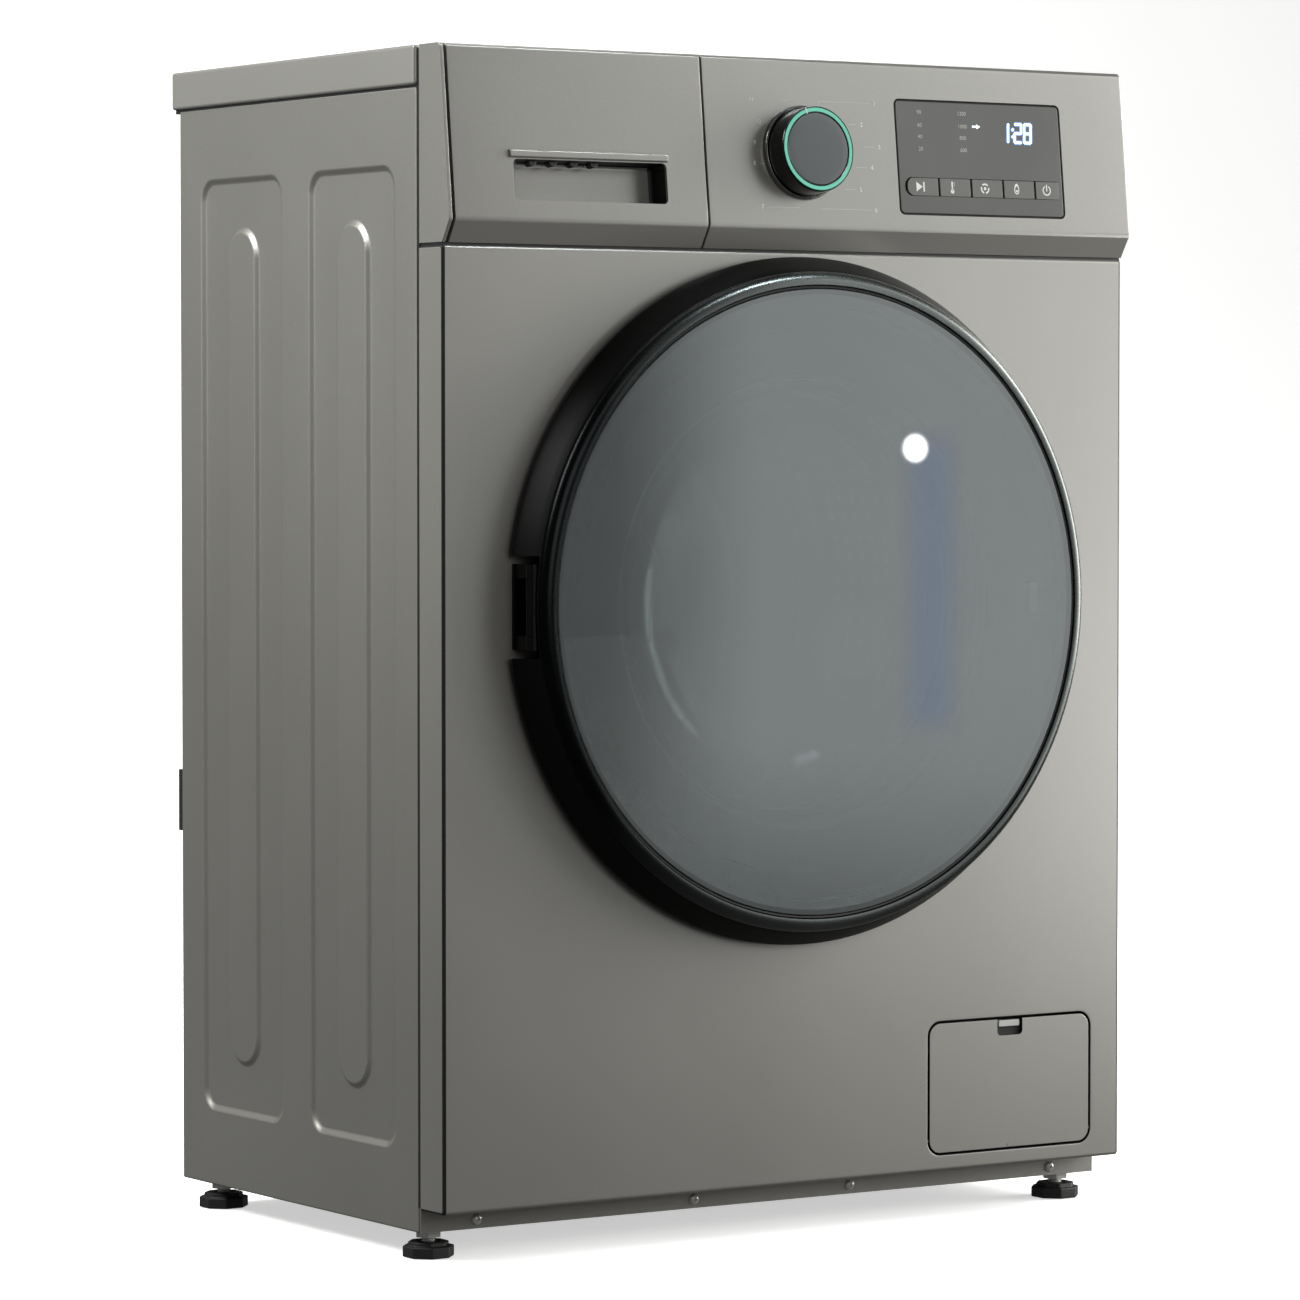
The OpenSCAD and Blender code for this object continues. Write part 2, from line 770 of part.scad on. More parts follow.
// Turning knob with its stem, grooved for the coloured ring
module program_knob() {
    low = bezel_t + gap;
    rim = 1.5;
    color(black) placed() on_face(knob_x, dial_z) difference() {
        union() {
            rotate_extrude() polygon([
                [0, low], [knob_r, low], [knob_r, knob_reach - rim], [knob_r - rim, knob_reach],
                [0, knob_reach]
            ]);
            translate([0, 0, 1 - board_back]) cylinder(r = stem_r, h = board_back + low);
        }
        translate([0, 0, knob_reach - ring_w])
            ring(ring_r - ring_w / 2 - 0.1, ring_r + ring_w / 2 + 0.1, ring_w + 1);
    }
}

// Flat ring on z 0
module ring(inner, outer, t) {
    difference() {
        cylinder(r = outer, h = t);
        translate([0, 0, -1]) cylinder(r = inner, h = t + 2);
    }
}

module knob_ring() {
    color("#3fae93") placed() on_face(knob_x, dial_z) translate([0, 0, knob_reach - ring_w])
        ring(ring_r - ring_w / 2, ring_r + ring_w / 2, ring_w);
}

module knob_bezel() {
    color(dark) placed() on_face(knob_x, dial_z) difference() {
        cylinder(r1 = bezel_r, r2 = bezel_r - 1, h = bezel_t);
        translate([0, 0, -1]) cylinder(r = stem_r + 6, h = bezel_t + 2);
    }
}

// One button of the row: round at the row's ends, with a thinner stem behind
module button(i) {
    w = button_width(i) - 2 * button_gap;
    h = button_h - 2 * button_gap;
    middle = button_left(i) + button_width(i) / 2;
    back = board_back - 3 - button_travel - gap;
    color(smoke) placed() {
        intersection() {
            on_face(middle, button_z) translate([-w / 2, -h / 2, -fascia_wall])
                cube([w, h, fascia_wall + button_proud]);
            row_inset();
        }
        on_face(middle, button_z) translate([-2.5, -2.5, -back]) cube([5, 5, back - fascia_wall + eps]);
    }
}

// The whole row as one solid, inset by the gap round the buttons
module row_inset() {
    right = button_left(4) + button_last;
    h = button_h - 2 * button_gap;
    on_face((button_x + right) / 2, button_z) translate([0, 0, -fascia_wall - 1])
        round_plate(right - button_x - 2 * button_gap, h, h / 2 - eps, fascia_wall + 3);
}

module start_button() {
    button(0);
}

module temperature_button() {
    button(1);
}

module spin_button() {
    button(2);
}

module timer_button() {
    button(3);
}

module power_button() {
    button(4);
}

// Front of the detergent drawer with its pull recess and the lip over it
module drawer_front() {
    left = -half_w + fascia_wall + front_gap;
    right = split_x - front_gap;
    back = bay_y - gap;
    core = 6;
    pull_left = pull_x - pull_w / 2;
    curve = pull_h * 0.45;
    color(paint) placed() difference() {
        union() {
            difference() {
                along_x(left, right) polygon(fascia_outline(0, back));
                along_x(left + fascia_wall, right - fascia_wall)
                    polygon(fascia_outline(fascia_wall, back + 1));
            }
            block([pull_left - core, 0, pull_z - core],
                [pull_left + pull_w + core, back, pull_z + pull_h + core + lip_h]);
            on_face(pull_x, pull_z + pull_h) translate([-pull_w / 2 - 1.5, 0, -1])
                cube([pull_w + 3, lip_h, lip_out + 1]);
        }
        along_x(pull_left, pull_left + pull_w) polygon(concat(
            [[-face_out - 10, pull_z + pull_h], [-face_out - 10, pull_z]],
            arc([pull_depth - curve, pull_z + curve], curve, -90, 0, 8),
            [[pull_depth, pull_z + pull_h]]
        ));
    }
}

// Tray with three compartments
module drawer_tray() {
    left = pull_x - tray_w / 2;
    front = bay_y - gap;
    walls = [0, 0.42, 0.66, 1];
    color(white) placed() difference() {
        translate([left, front, tray_z]) cube([tray_w, tray_len, tray_h]);
        for (i = [0:2]) {
            from = left + walls[i] * tray_w + (i == 0 ? tray_wall : tray_wall / 2);
            to = left + walls[i + 1] * tray_w - (i == 2 ? tray_wall : tray_wall / 2);
            block([from, front + tray_wall, tray_z + tray_wall],
                [to, front + tray_len - tray_wall, tray_z + tray_h + 1]);
        }
    }
}

// Box that the tray slides in, with the water inlet on its roof
module dispenser_housing() {
    left = pull_x - tray_w / 2 - 1;
    front = bay_y + tray_wall;
    low = tray_z - gap;
    roof = tray_z + tray_h + 14;
    color(white) placed() {
        difference() {
            block([left - tray_wall, front, low - tray_wall],
                [left + tray_w + 2 + tray_wall, front + tray_len + 4, roof + tray_wall]);
            block([left, front - 1, low], [left + tray_w + 2, front + tray_len + 4 - tray_wall, roof]);
        }
        translate([pull_x, front + tray_len - 14, roof + tray_wall - eps]) ring(6, 8, 10);
    }
}

// Solenoid valve behind the rear sheet, its threaded inlet through it
module inlet_valve() {
    color(white) placed() difference() {
        union() {
            rod_y(inlet_x, inlet_z, inlet_r + 6, rear_in - 8, rear_in);
            rod_y(inlet_x, inlet_z, inlet_r, rear_in - 1, rear_reach);
            block([inlet_x - 14, rear_in - 48, inlet_z - 16], [inlet_x + 14, rear_in - 7, inlet_z + 14]);
        }
        rod_y(inlet_x, inlet_z, inlet_r - 4, rear_in - 20, rear_reach + 1);
    }
}

// Ring moulding of the door, notched for the hinge and the grip, with cheeks for the latch
module door_frame() {
    inner = pane_r - 12;
    plate = frame_plate;
    color(black) placed() difference() {
        union() {
            turned([
                [mouth_r + 1, -door_gap], [door_r - 3, -door_gap], [door_r, -door_gap - 3],
                [door_r, -door_gap - 6], [door_front_r, -frame_front], [inner, -frame_front],
                [inner, -plate], [mouth_r + 1, -plate]
            ]);
            for (s = [-1, 1]) {
                translate([latch_x, 0, door_z + s * cheek_z])
                    block([-9, -latch_out - 5, -cheek_t / 2], [9, -door_gap, cheek_t / 2]);
            }
        }
        block([-door_r - 1, -frame_front + hinge_front, door_z - notch_z],
            [-hinge_x + notch_in, 0, door_z + notch_z]);
        block([latch_x - 10, -plate - 1, door_z - cheek_z + cheek_t / 2],
            [latch_x + 10, 0, door_z + cheek_z - cheek_t / 2]);
        rod_z(latch_x, -latch_out, door_z - cheek_z - cheek_t, door_z + cheek_z + cheek_t,
            latch_pin_r + running);
        block([door_front_r - 9, -17, door_z - grip_z], [door_r + 1, 0, door_z + grip_z]);
    }
}

// Cylinder along Z
module rod_z(x, y, from, to, r) {
    translate([x, y, from]) cylinder(r = r, h = to - from);
}

module door_trim_ring() {
    inner = pane_r + 0.4;
    front = -frame_front - trim_h;
    color(grey) placed() turned([
        [inner, -frame_front], [door_front_r, -frame_front], [door_front_r - 1.5, front + 2.5],
        [door_front_r - 4, front], [inner, front]
    ]);
}

// Depth of the outer window's dome at a radius, and points along it
function dome_y(r, edge_y) = edge_y - pane_rise * (1 - pow(r / pane_r, 2));
function dome(from, to, edge_y) =
    [for (i = [0:dome_steps]) let (r = from + (to - from) * i / dome_steps) [r, dome_y(r, edge_y)]];

// Tinted outer window, slightly domed
module door_window() {
    front = -frame_front - pane_edge;
    seat = pane_r - 11;
    color(smoke, 0.6) placed() turned(concat(
        dome(0, pane_r, front),
        [[pane_r, -frame_front], [seat, -frame_front]],
        dome(seat, 0, front + pane_t)
    ));
}

// Radius of the bowl at a share of its depth
function bowl_at(share, r) = r * pow(1 - pow(share, bowl_power), 1 / bowl_power);

function bowl_curve(r, depth) =
    [for (i = [0:bowl_steps]) [bowl_at(sin(90 * i / bowl_steps), r), depth * sin(90 * i / bowl_steps)]];

// Glass bowl that reaches into the drum's mouth
module door_bowl() {
    flange_r = mouth_r + 20;
    top = -frame_plate - 4;
    outer = bowl_curve(bowl_r, bowl_depth);
    inner = bowl_curve(bowl_r - bowl_wall, bowl_depth - bowl_wall);
    color("#cfd8d8", 0.35) placed() turned(concat(
        [[flange_r, -frame_plate], [bowl_r, -frame_plate]],
        outer,
        [for (i = [bowl_steps:-1:0]) inner[i]],
        [[bowl_r - bowl_wall, top], [flange_r, top]]
    ));
}

// Clamp ring that holds the bowl against the frame
module door_inner_ring() {
    flange_r = mouth_r + 20;
    color(dark) placed() turned([
        [bowl_r + 6, -frame_plate - 4], [flange_r + 1, -frame_plate - 4], [flange_r + 1, -frame_plate],
        [flange_r + 10, -frame_plate], [flange_r + 10, -frame_plate - 8], [bowl_r + 6, -frame_plate - 8]
    ]);
}

// Fixed half of the hinge: a foot on the panel and two ears
module hinge_bracket() {
    ear = 10;
    foot_t = door_gap - 0.4;
    color(dark) placed() difference() {
        union() {
            block([-hinge_x - 5, -foot_t, door_z - ear_z - ear], [-hinge_x + 36, 0, door_z + ear_z + ear]);
            for (z = [-ear_z - ear, ear_z]) {
                translate([0, 0, door_z + z]) {
                    block([-hinge_x - 4, -hinge_out, 0], [-hinge_x + 4, 0, ear]);
                    rod_z(-hinge_x, -hinge_out, 0, ear, 5);
                }
            }
        }
        rod_z(-hinge_x, -hinge_out, door_z - ear_z - ear - 1, door_z + ear_z + ear + 1,
            hinge_pin_r + running);
    }
}

// Moving half of the hinge: the pin and the leaf that carries the door
module hinge_arm() {
    reach = ear_z - gap;
    color(dark) placed() {
        rod_z(-hinge_x, -hinge_out, door_z - ear_z - 10, door_z + ear_z + 10, hinge_pin_r);
        rod_z(-hinge_x, -hinge_out, door_z - reach, door_z + reach, 5);
        block([-hinge_x, -hinge_out - 3, door_z - reach],
            [-hinge_x + notch_in, -hinge_out + 3, door_z + reach]);
    }
}

// Sprung hook of the door catch, on its own pin
module latch_hook() {
    tall = cheek_z - cheek_t / 2 - gap;
    color(steel) placed() {
        rod_z(latch_x, -latch_out, door_z - cheek_z - cheek_t / 2, door_z + cheek_z + cheek_t / 2,
            latch_pin_r);
        rod_z(latch_x, -latch_out, door_z - tall, door_z + tall, 4);
        block([latch_x - 3, -latch_out, door_z - tall], [latch_x + 3, 18, door_z + tall]);
        block([latch_x - 3, 12, door_z - tall], [latch_x + 8, 18, door_z + tall]);
    }
}

// Lock behind the front panel that the hook enters
module door_lock() {
    color(dark) placed() difference() {
        translate([lock_x - lock_box.x / 2, sheet, door_z - lock_box.y / 2])
            cube([lock_box.x, lock_box.z, lock_box.y]);
        block([hook_slot_x - lock_slot.x / 2, 0, door_z - lock_slot.y / 2],
            [hook_slot_x + lock_slot.x / 2, sheet + lock_box.z - 3, door_z + lock_slot.y / 2]);
    }
}

// Folded rubber seal between the front panel and the tub's mouth
module door_seal() {
    panel_r = porthole_r - gap;
    neck_r = mouth_r + 3 + gap;
    wall = 4;
    lip_r = mouth_r - 5;
    fold_r = porthole_r + 10;
    color("#5c5f60") placed() turned([
        [lip_r + 4, -2.2], [porthole_r + 5, -2.2], [porthole_r + 5, -gap], [panel_r, -gap], [panel_r, 10],
        [fold_r, 18], [fold_r, 30], [neck_r + wall, 44],
        [neck_r + wall, tub_front_y - gap], [neck_r, tub_front_y - gap],
        [neck_r, 44], [mouth_r, 41], [mouth_r, 38], [fold_r - wall - 2, 28], [fold_r - wall - 2, 20],
        [panel_r - wall, 14], [lip_r, 16], [lip_r, 13], [panel_r - wall, 9], [panel_r - wall, 2],
        [lip_r + 4, 0]
    ]);
}

// Front half of the tub with the neck that the seal grips
module tub_front() {
    outer = tub_r + tub_wall;
    color(white) placed() turned([
        [mouth_r, 46], [mouth_r + 3, 46], [mouth_r + 3, tub_front_y], [outer, tub_front_y],
        [outer, tub_split_y - 10], [outer + 8, tub_split_y - 10],
        [outer + 8, tub_split_y], [tub_r, tub_split_y],
        [tub_r, tub_front_y + tub_wall], [mouth_r, tub_front_y + tub_wall]
    ]);
}

// Rear half of the tub with its bearing hub and the lugs of the springs, dampers and motor
module tub_rear() {
    outer = tub_r + tub_wall;
    motor_top = motor_z + motor_r + 0.2;
    color(white) placed() {
        difference() {
            union() {
                rod_y(0, door_z, outer, tub_split_y, tub_rear_y);
                rod_y(0, door_z, outer + 8, tub_split_y, tub_split_y + 10);
                for (s = [-1, 1]) {
                    block([s * spring_x - 14, spring_y - 12, door_z + lug_root],
                        [s * spring_x + 14, spring_y + 12, spring_low_z]);
                    block([s * damper_top_x - 12, damper_y - 12, damper_top_z],
                        [s * damper_top_x + 12, damper_y + 12, door_z - lug_root]);
                }
                for (y = [motor_front_y + 6, tub_rear_y - 14]) {
                    block([motor_x - 18, y, motor_top], [motor_x + 18, y + 14, door_z - tub_r + 20]);
                }
            }
            rod_y(0, door_z, tub_r, tub_split_y - 1, tub_rear_y - tub_wall);
            rod_y(0, door_z, bearing_r + running, tub_rear_y - 10, tub_rear_y + 1);
            heater_holes();
        }
        translate([0, hub_y, door_z]) rotate([-90, 0, 0]) ring(bearing_r + running, bearing_r + 15, hub_len);
    }
}

module heater_holes() {
    for (s = [-1, 1]) {
        rod_y(s * heater_x, heater_z, heater_r + gap, tub_rear_y - 10, tub_rear_y + 1);
    }
}

// Stainless drum, open at the front
module drum_shell() {
    front = tub_front_y + tub_wall + drum_front_gap;
    color(steel) placed() turned([
        [drum_mouth_r, front], [drum_r, front], [drum_r, drum_rear_y], [shaft_r + gap, drum_rear_y],
        [shaft_r + gap, drum_rear_y - drum_t], [drum_r - drum_t, drum_rear_y - drum_t],
        [drum_r - drum_t, front + drum_t],
        [drum_mouth_r, front + drum_t]
    ]);
}

// Three hollow lifters on the inside of the drum
module drum_lifters() {
    front = tub_front_y + tub_wall + drum_front_gap + drum_t;
    top_r = drum_r - drum_t - lifter_h;
    color(white) placed() intersection() {
        rod_y(0, door_z, drum_r - drum_t - gap, front + 16, drum_rear_y - drum_t - 16);
        for (a = [90:120:330]) {
            translate([0, front + 16, door_z]) rotate([-90, a, 0])
                linear_extrude(drum_rear_y - drum_t - front - 32)
                polygon(concat([[drum_r, -26], [drum_r, 26]], arc([top_r + 12, 0], 12, 70, -70, 8)));
        }
    }
}

// Cast three-armed spider behind the drum
module drum_spider() {
    color("#a9acae") placed() translate([0, drum_rear_y, door_z]) rotate([-90, 0, 0]) difference() {
        union() {
            cylinder(r = 32, h = spider_t);
            for (a = [30:120:270]) {
                rotate([0, 0, a]) translate([0, -13, 0]) cube([drum_r - 12, 26, spider_t]);
            }
        }
        translate([0, 0, -1]) cylinder(r = shaft_r + running, h = spider_t + 2);
    }
}

module drum_shaft() {
    color(steel) placed() rod_y(0, door_z, shaft_r, drum_rear_y - drum_t, pulley_y + pulley_w + 3);
}

// Two ball bearings in the tub's hub
module shaft_bearings() {
    color(steel) placed() for (y = [hub_y + 1, hub_y + hub_len - bearing_w - 1]) {
        translate([0, y, door_z]) rotate([-90, 0, 0]) ring(shaft_r + running, bearing_r, bearing_w);
    }
}

// Six-armed drum pulley
module drum_pulley() {
    rim = 8;
    color("#a9acae") placed() translate([0, pulley_y, door_z]) rotate([-90, 0, 0]) {
        ring(pulley_r - rim, pulley_r, pulley_w);
        ring(shaft_r + running, shaft_r + 12, pulley_w);
        for (a = [0:60:300]) {
            rotate([0, 0, a]) translate([shaft_r + 11, -7, 4]) cube([pulley_r - rim - shaft_r - 10, 14, 8]);
        }
    }
}

// Belt round both pulleys
module drive_belt() {
    color(black) placed() translate([0, pulley_y + (pulley_w - belt_w) / 2, 0]) rotate([90, 0, 0])
        translate([0, 0, -belt_w]) linear_extrude(belt_w) difference() {
            belt_line(gap + 0.1 + belt_t);
            belt_line(gap + 0.1);
        }
}

// Outline of the belt at a distance from the pulleys
module belt_line(out) {
    hull() {
        translate([0, door_z]) circle(r = pulley_r + out, $fn = 120);
        translate([motor_x, motor_z]) circle(r = motor_pulley_r + out, $fn = 48);
    }
}

// Drive motor under the tub
module motor() {
    color("#6d7072") placed() difference() {
        union() {
            rod_y(motor_x, motor_z, motor_r, motor_front_y, tub_rear_y);
            rod_y(motor_x, motor_z, 22, motor_front_y, tub_rear_y + 12);
        }
        rod_y(motor_x, motor_z, motor_shaft_r + running, tub_rear_y - 30, tub_rear_y + 13);
    }
}

module motor_pulley() {
    color(steel) placed() {
        rod_y(motor_x, motor_z, motor_shaft_r, tub_rear_y - 28, pulley_y + pulley_w);
        rod_y(motor_x, motor_z, motor_pulley_r, pulley_y, pulley_y + pulley_w);
    }
}

// Tubular heater in the bottom of the tub, on its plate behind the rear wall
module heater() {
    color(steel) placed() {
        for (s = [-1, 1]) {
            rod_y(s * heater_x, heater_z, heater_r, tub_split_y, tub_rear_y + 6);
            translate([s * heater_x, tub_split_y, heater_z]) sphere(r = heater_r);
        }
        rod_x(-heater_x, heater_x, tub_split_y, heater_z, heater_r);
        block([-heater_x - 10, tub_rear_y, heater_z - 10], [heater_x + 10, tub_rear_y + 5, heater_z + 12]);
    }
}

// Two concrete weights on the tub's front wall
module counterweights() {
    inner = mouth_r + 31;
    color("#b9b6ad") placed() difference() {
        turned([[inner, 40], [tub_r - 2, 40], [tub_r - 2, tub_front_y], [inner, tub_front_y]]);
        block([-tub_r, 0, door_z - 110], [tub_r, tub_front_y + 1, door_z + 110]);
    }
}

// Points and faces of a coil spring, swept as one tube
function spring_point(i) = let (turn = i / spring_rings)
    [spring_r * cos(360 * turn), spring_r * sin(360 * turn), wire_r + spring_rise * turn / spring_turns];
function spring_ring(i) = let (a = 360 * i / spring_rings, p = spring_point(i))
    [for (k = [0:spring_sides - 1]) let (b = 360 * k / spring_sides)
        p + wire_r * [cos(b) * cos(a), cos(b) * sin(a), sin(b)]];

module spring() {
    n = spring_sides;
    points = [for (i = [0:spring_last]) each spring_ring(i)];
    sides = [for (i = [0:spring_last - 1], k = [0:n - 1]) let (a = i * n + k, b = i * n + (k + 1) % n)
        each [[a, b, a + n], [b, b + n, a + n]]];
    top = spring_last * n;
    ends = [for (k = [1:n - 2]) each [[0, k + 1, k], [top, top + k, top + k + 1]]];
    polyhedron(points, concat(sides, ends));
}

// Least gap between the surfaces of neighbouring turns, measured on the points of the coil
function spring_step(i) = norm(spring_point(i + spring_rings) - spring_point(i));
spring_gap = min([for (i = [0:spring_last - spring_rings]) spring_step(i)]) - 2 * wire_r;
echo(spring_gap_mm = spring_gap);

module suspension_springs() {
    color(steel) placed() for (s = [-1, 1]) {
        translate([s * spring_x, spring_y, spring_low_z + gap]) spring();
    }
}

// Two friction dampers between the floor flanges and the tub
module dampers() {
    low_z = base_z + sheet;
    dx = damper_x - damper_top_x;
    dz = damper_top_z - gap - low_z - 14;
    run = sqrt(dx * dx + dz * dz);
    tilt = atan2(dx, dz);
    color("#55585a") placed() for (s = [-1, 1]) {
        translate([s * damper_x, damper_y, low_z]) {
            translate([-12, -12, 0]) cube([24, 24, 14]);
            intersection() {
                translate([0, 0, 8]) rotate([0, -s * tilt, 0]) {
                    cylinder(r = damper_r, h = run * 0.55);
                    cylinder(r = damper_r * 0.4, h = run + 20);
                }
                translate([-150, -50, 0]) cube([300, 100, dz + 14]);
            }
        }
    }
}

// Drain pump behind the flap, on the front rail's fold
module drain_pump() {
    front = 14;
    back = 100;
    wall = 3;
    color(dark) placed() {
        difference() {
            rod_y(flap_x, pump_z, pump_r + wall, front, back);
            rod_y(flap_x, pump_z, pump_r, front - 1, back - 6);
        }
        rod_y(flap_x, pump_z, pump_r - 4, back - 1, back + 60);
        difference() {
            block([flap_x - 20, 40, base_z + 2 * sheet], [flap_x + 20, 70, pump_z]);
            rod_y(flap_x, pump_z, pump_r + wall / 2, 30, 80);
        }
    }
}

// Lint filter, turned by its grip
module pump_filter() {
    color("#cfd2d0") placed() {
        rod_y(flap_x, pump_z, pump_r - gap, 9, 22);
        rod_y(flap_x, pump_z, pump_r - 8, 21, 80);
        block([flap_x - 22, 5, pump_z - 4], [flap_x + 22, 10, pump_z + 4]);
    }
}

// Flap over the filter, hinged on pegs along its lower edge
module drain_flap() {
    w = flap_w - 2 * flap_gap;
    h = flap_h - 2 * flap_gap;
    color(paint) placed() {
        difference() {
            translate([flap_x, 0, pump_z]) rotate([-90, 0, 0]) round_plate(w, h, flap_r - flap_gap, flap_t);
            block([flap_x - slot_w / 2, -1, flap_z + flap_h - slot_h - flap_gap],
                [flap_x + slot_w / 2, flap_t + 1, flap_z + flap_h]);
        }
        for (s = [-1, 1]) {
            peg_x = flap_x + s * (w / 2 - 3);
            rod_x(peg_x - 5.5, peg_x + 5.5, flap_hinge_y, flap_hinge_z, flap_peg_r);
            translate([peg_x - s * 3, 0, flap_hinge_z]) block([-4, flap_t - 1, -3], [4, flap_hinge_y + 2, 3]);
        }
    }
}

// Adjustable foot: a pad with flats on a threaded stem
module foot(x, y) {
    color(black) placed() translate([x, y, 0]) {
        cylinder(r = foot_r, h = foot_h - 3, $fn = 8);
        translate([0, 0, foot_h - 3 - eps]) cylinder(r = foot_r - 4, h = 3 + eps);
        cylinder(r = foot_stem_r, h = base_z + 24);
    }
}

module foot_front_left() {
    foot(-foot_x, foot_front_y);
}

module foot_front_right() {
    foot(foot_x, foot_front_y);
}

module foot_rear_left() {
    foot(-foot_x, foot_rear_y);
}

module foot_rear_right() {
    foot(foot_x, foot_rear_y);
}

// Lock nuts under the base
module foot_nuts() {
    color(steel) placed() for (x = [-foot_x, foot_x], y = [foot_front_y, foot_rear_y]) {
        translate([x, y, base_z - nut_h]) difference() {
            cylinder(r = 9.8, h = nut_h, $fn = 6);
            translate([0, 0, -1]) cylinder(r = foot_stem_r + running, h = nut_h + 2);
        }
    }
}

// Clip for the drain hose on the left rear edge
module hose_clip() {
    color(dark) placed() difference() {
        block([-half_w + 0.5, body_depth, clip_z[0]], [-half_w + 22, body_depth + 5.5, clip_z[1]]);
        block([-half_w + 4, body_depth + 1.5, clip_z[0] - 1], [-half_w + 18, body_depth + 4, clip_z[1] + 1]);
    }
}

// Cord gland in the rear sheet
module cord_gland() {
    color(black) placed() difference() {
        union() {
            rod_y(gland_x, gland_z, gland_r, rear_in - 10, body_depth);
            rod_y(gland_x, gland_z, gland_r + 4, rear_face, rear_face + 5);
        }
        rod_y(gland_x, gland_z, cord_r, rear_in - 11, rear_face + 6);
    }
}

// Spigot for the drain hose in the rear sheet
module drain_outlet() {
    color(black) placed() difference() {
        union() {
            rod_y(outlet_x, outlet_z, drain_r, rear_in - 14, rear_reach);
            rod_y(outlet_x, outlet_z, drain_r + 8, rear_face, rear_face + 2);
        }
        rod_y(outlet_x, outlet_z, drain_r - 2.5, rear_in - 15, rear_reach + 1);
    }
}

// Caps in the holes of the transit bolts
module transit_caps() {
    color(dark) placed() for (s = [-1, 1], t = [-1, 1]) {
        rod_y(s * cap_x, door_z + t * cap_dz, cap_r, rear_in - 8, body_depth);
        rod_y(s * cap_x, door_z + t * cap_dz, cap_r + 5, rear_face, rear_face + 3);
    }
}

left_side_panel();
right_side_panel();
rear_panel();
service_cover();
cabinet_screws();
kick_rail();
top_lid();
front_panel();
control_panel();
display_window();
display_board();
program_knob();
knob_ring();
knob_bezel();
start_button();
temperature_button();
spin_button();
timer_button();
power_button();
drawer_front();
drawer_tray();
dispenser_housing();
inlet_valve();
door_frame();
door_trim_ring();
door_window();
door_bowl();
door_inner_ring();
hinge_bracket();
hinge_arm();
latch_hook();
door_lock();
door_seal();
tub_front();
tub_rear();
drum_shell();
drum_lifters();
drum_spider();
drum_shaft();
shaft_bearings();
drum_pulley();
drive_belt();
motor();
motor_pulley();
heater();
counterweights();
suspension_springs();
dampers();
drain_pump();
pump_filter();
drain_flap();
foot_front_left();
foot_front_right();
foot_rear_left();
foot_rear_right();
foot_nuts();
hose_clip();
cord_gland();
drain_outlet();
transit_caps();
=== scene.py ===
import bpy
import bmesh
import json
import math
from mathutils import Matrix, Vector

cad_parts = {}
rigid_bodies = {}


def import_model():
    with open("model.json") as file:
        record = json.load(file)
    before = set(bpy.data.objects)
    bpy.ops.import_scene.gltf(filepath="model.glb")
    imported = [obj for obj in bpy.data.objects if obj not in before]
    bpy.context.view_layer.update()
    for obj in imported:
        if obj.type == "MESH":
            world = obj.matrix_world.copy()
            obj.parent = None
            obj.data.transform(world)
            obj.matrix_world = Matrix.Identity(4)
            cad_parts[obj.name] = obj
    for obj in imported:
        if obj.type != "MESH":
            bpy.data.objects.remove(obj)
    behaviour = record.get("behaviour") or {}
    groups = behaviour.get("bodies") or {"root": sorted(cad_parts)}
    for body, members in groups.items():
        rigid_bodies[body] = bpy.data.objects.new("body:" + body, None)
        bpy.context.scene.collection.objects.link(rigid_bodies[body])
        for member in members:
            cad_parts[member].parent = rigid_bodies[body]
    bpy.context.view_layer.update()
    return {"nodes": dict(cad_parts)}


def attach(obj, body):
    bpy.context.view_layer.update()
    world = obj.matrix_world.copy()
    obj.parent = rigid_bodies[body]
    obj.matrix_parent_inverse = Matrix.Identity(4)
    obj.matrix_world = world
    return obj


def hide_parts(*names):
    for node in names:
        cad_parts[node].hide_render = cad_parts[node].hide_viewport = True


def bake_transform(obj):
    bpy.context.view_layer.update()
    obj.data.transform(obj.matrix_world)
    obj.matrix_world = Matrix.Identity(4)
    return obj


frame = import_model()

scene = bpy.context.scene
nodes = frame["nodes"]
frontY = -176.5  # the front panel's plane in the row frame, mm
doorZ = 459  # height of the axis of door and drum, mm
lean = math.radians(6.08)  # how far the control panel's face leans back
origin = Vector((0, 0, 0))
tiny = 1e-5  # m, for telling one plane from another
print("frame loaded", len(nodes), "nodes")


def at(x, y, z):  # machine millimetres, y from the front panel's plane
    return Vector((x / 1000, (y + frontY) / 1000, z / 1000))


def faceAt(x, z, out=0.0):  # a point on the leaning face of the control panel, out mm in front of it
    y = 3 - (850 - z) * math.tan(lean)
    return at(x, y - out * math.cos(lean), z + out * math.sin(lean))


def moved(obj, x, y, z):  # millimetres
    obj.data.transform(Matrix.Translation((x / 1000, y / 1000, z / 1000)))
    return obj


def deselect():
    if bpy.context.object and bpy.context.object.mode != "OBJECT":
        bpy.ops.object.mode_set(mode="OBJECT")
    bpy.ops.object.select_all(action="DESELECT")


def activate(obj):
    deselect()
    obj.select_set(True)
    bpy.context.view_layer.objects.active = obj


def named(name):
    obj = bpy.context.object
    obj.name = obj.data.name = name
    return obj


def editing(obj):
    activate(obj)
    bpy.ops.object.mode_set(mode="EDIT")
    return bmesh.from_edit_mesh(obj.data)


def done():
    bpy.ops.object.mode_set(mode="OBJECT")


def pickAll():
    bpy.ops.mesh.select_all(action="SELECT")


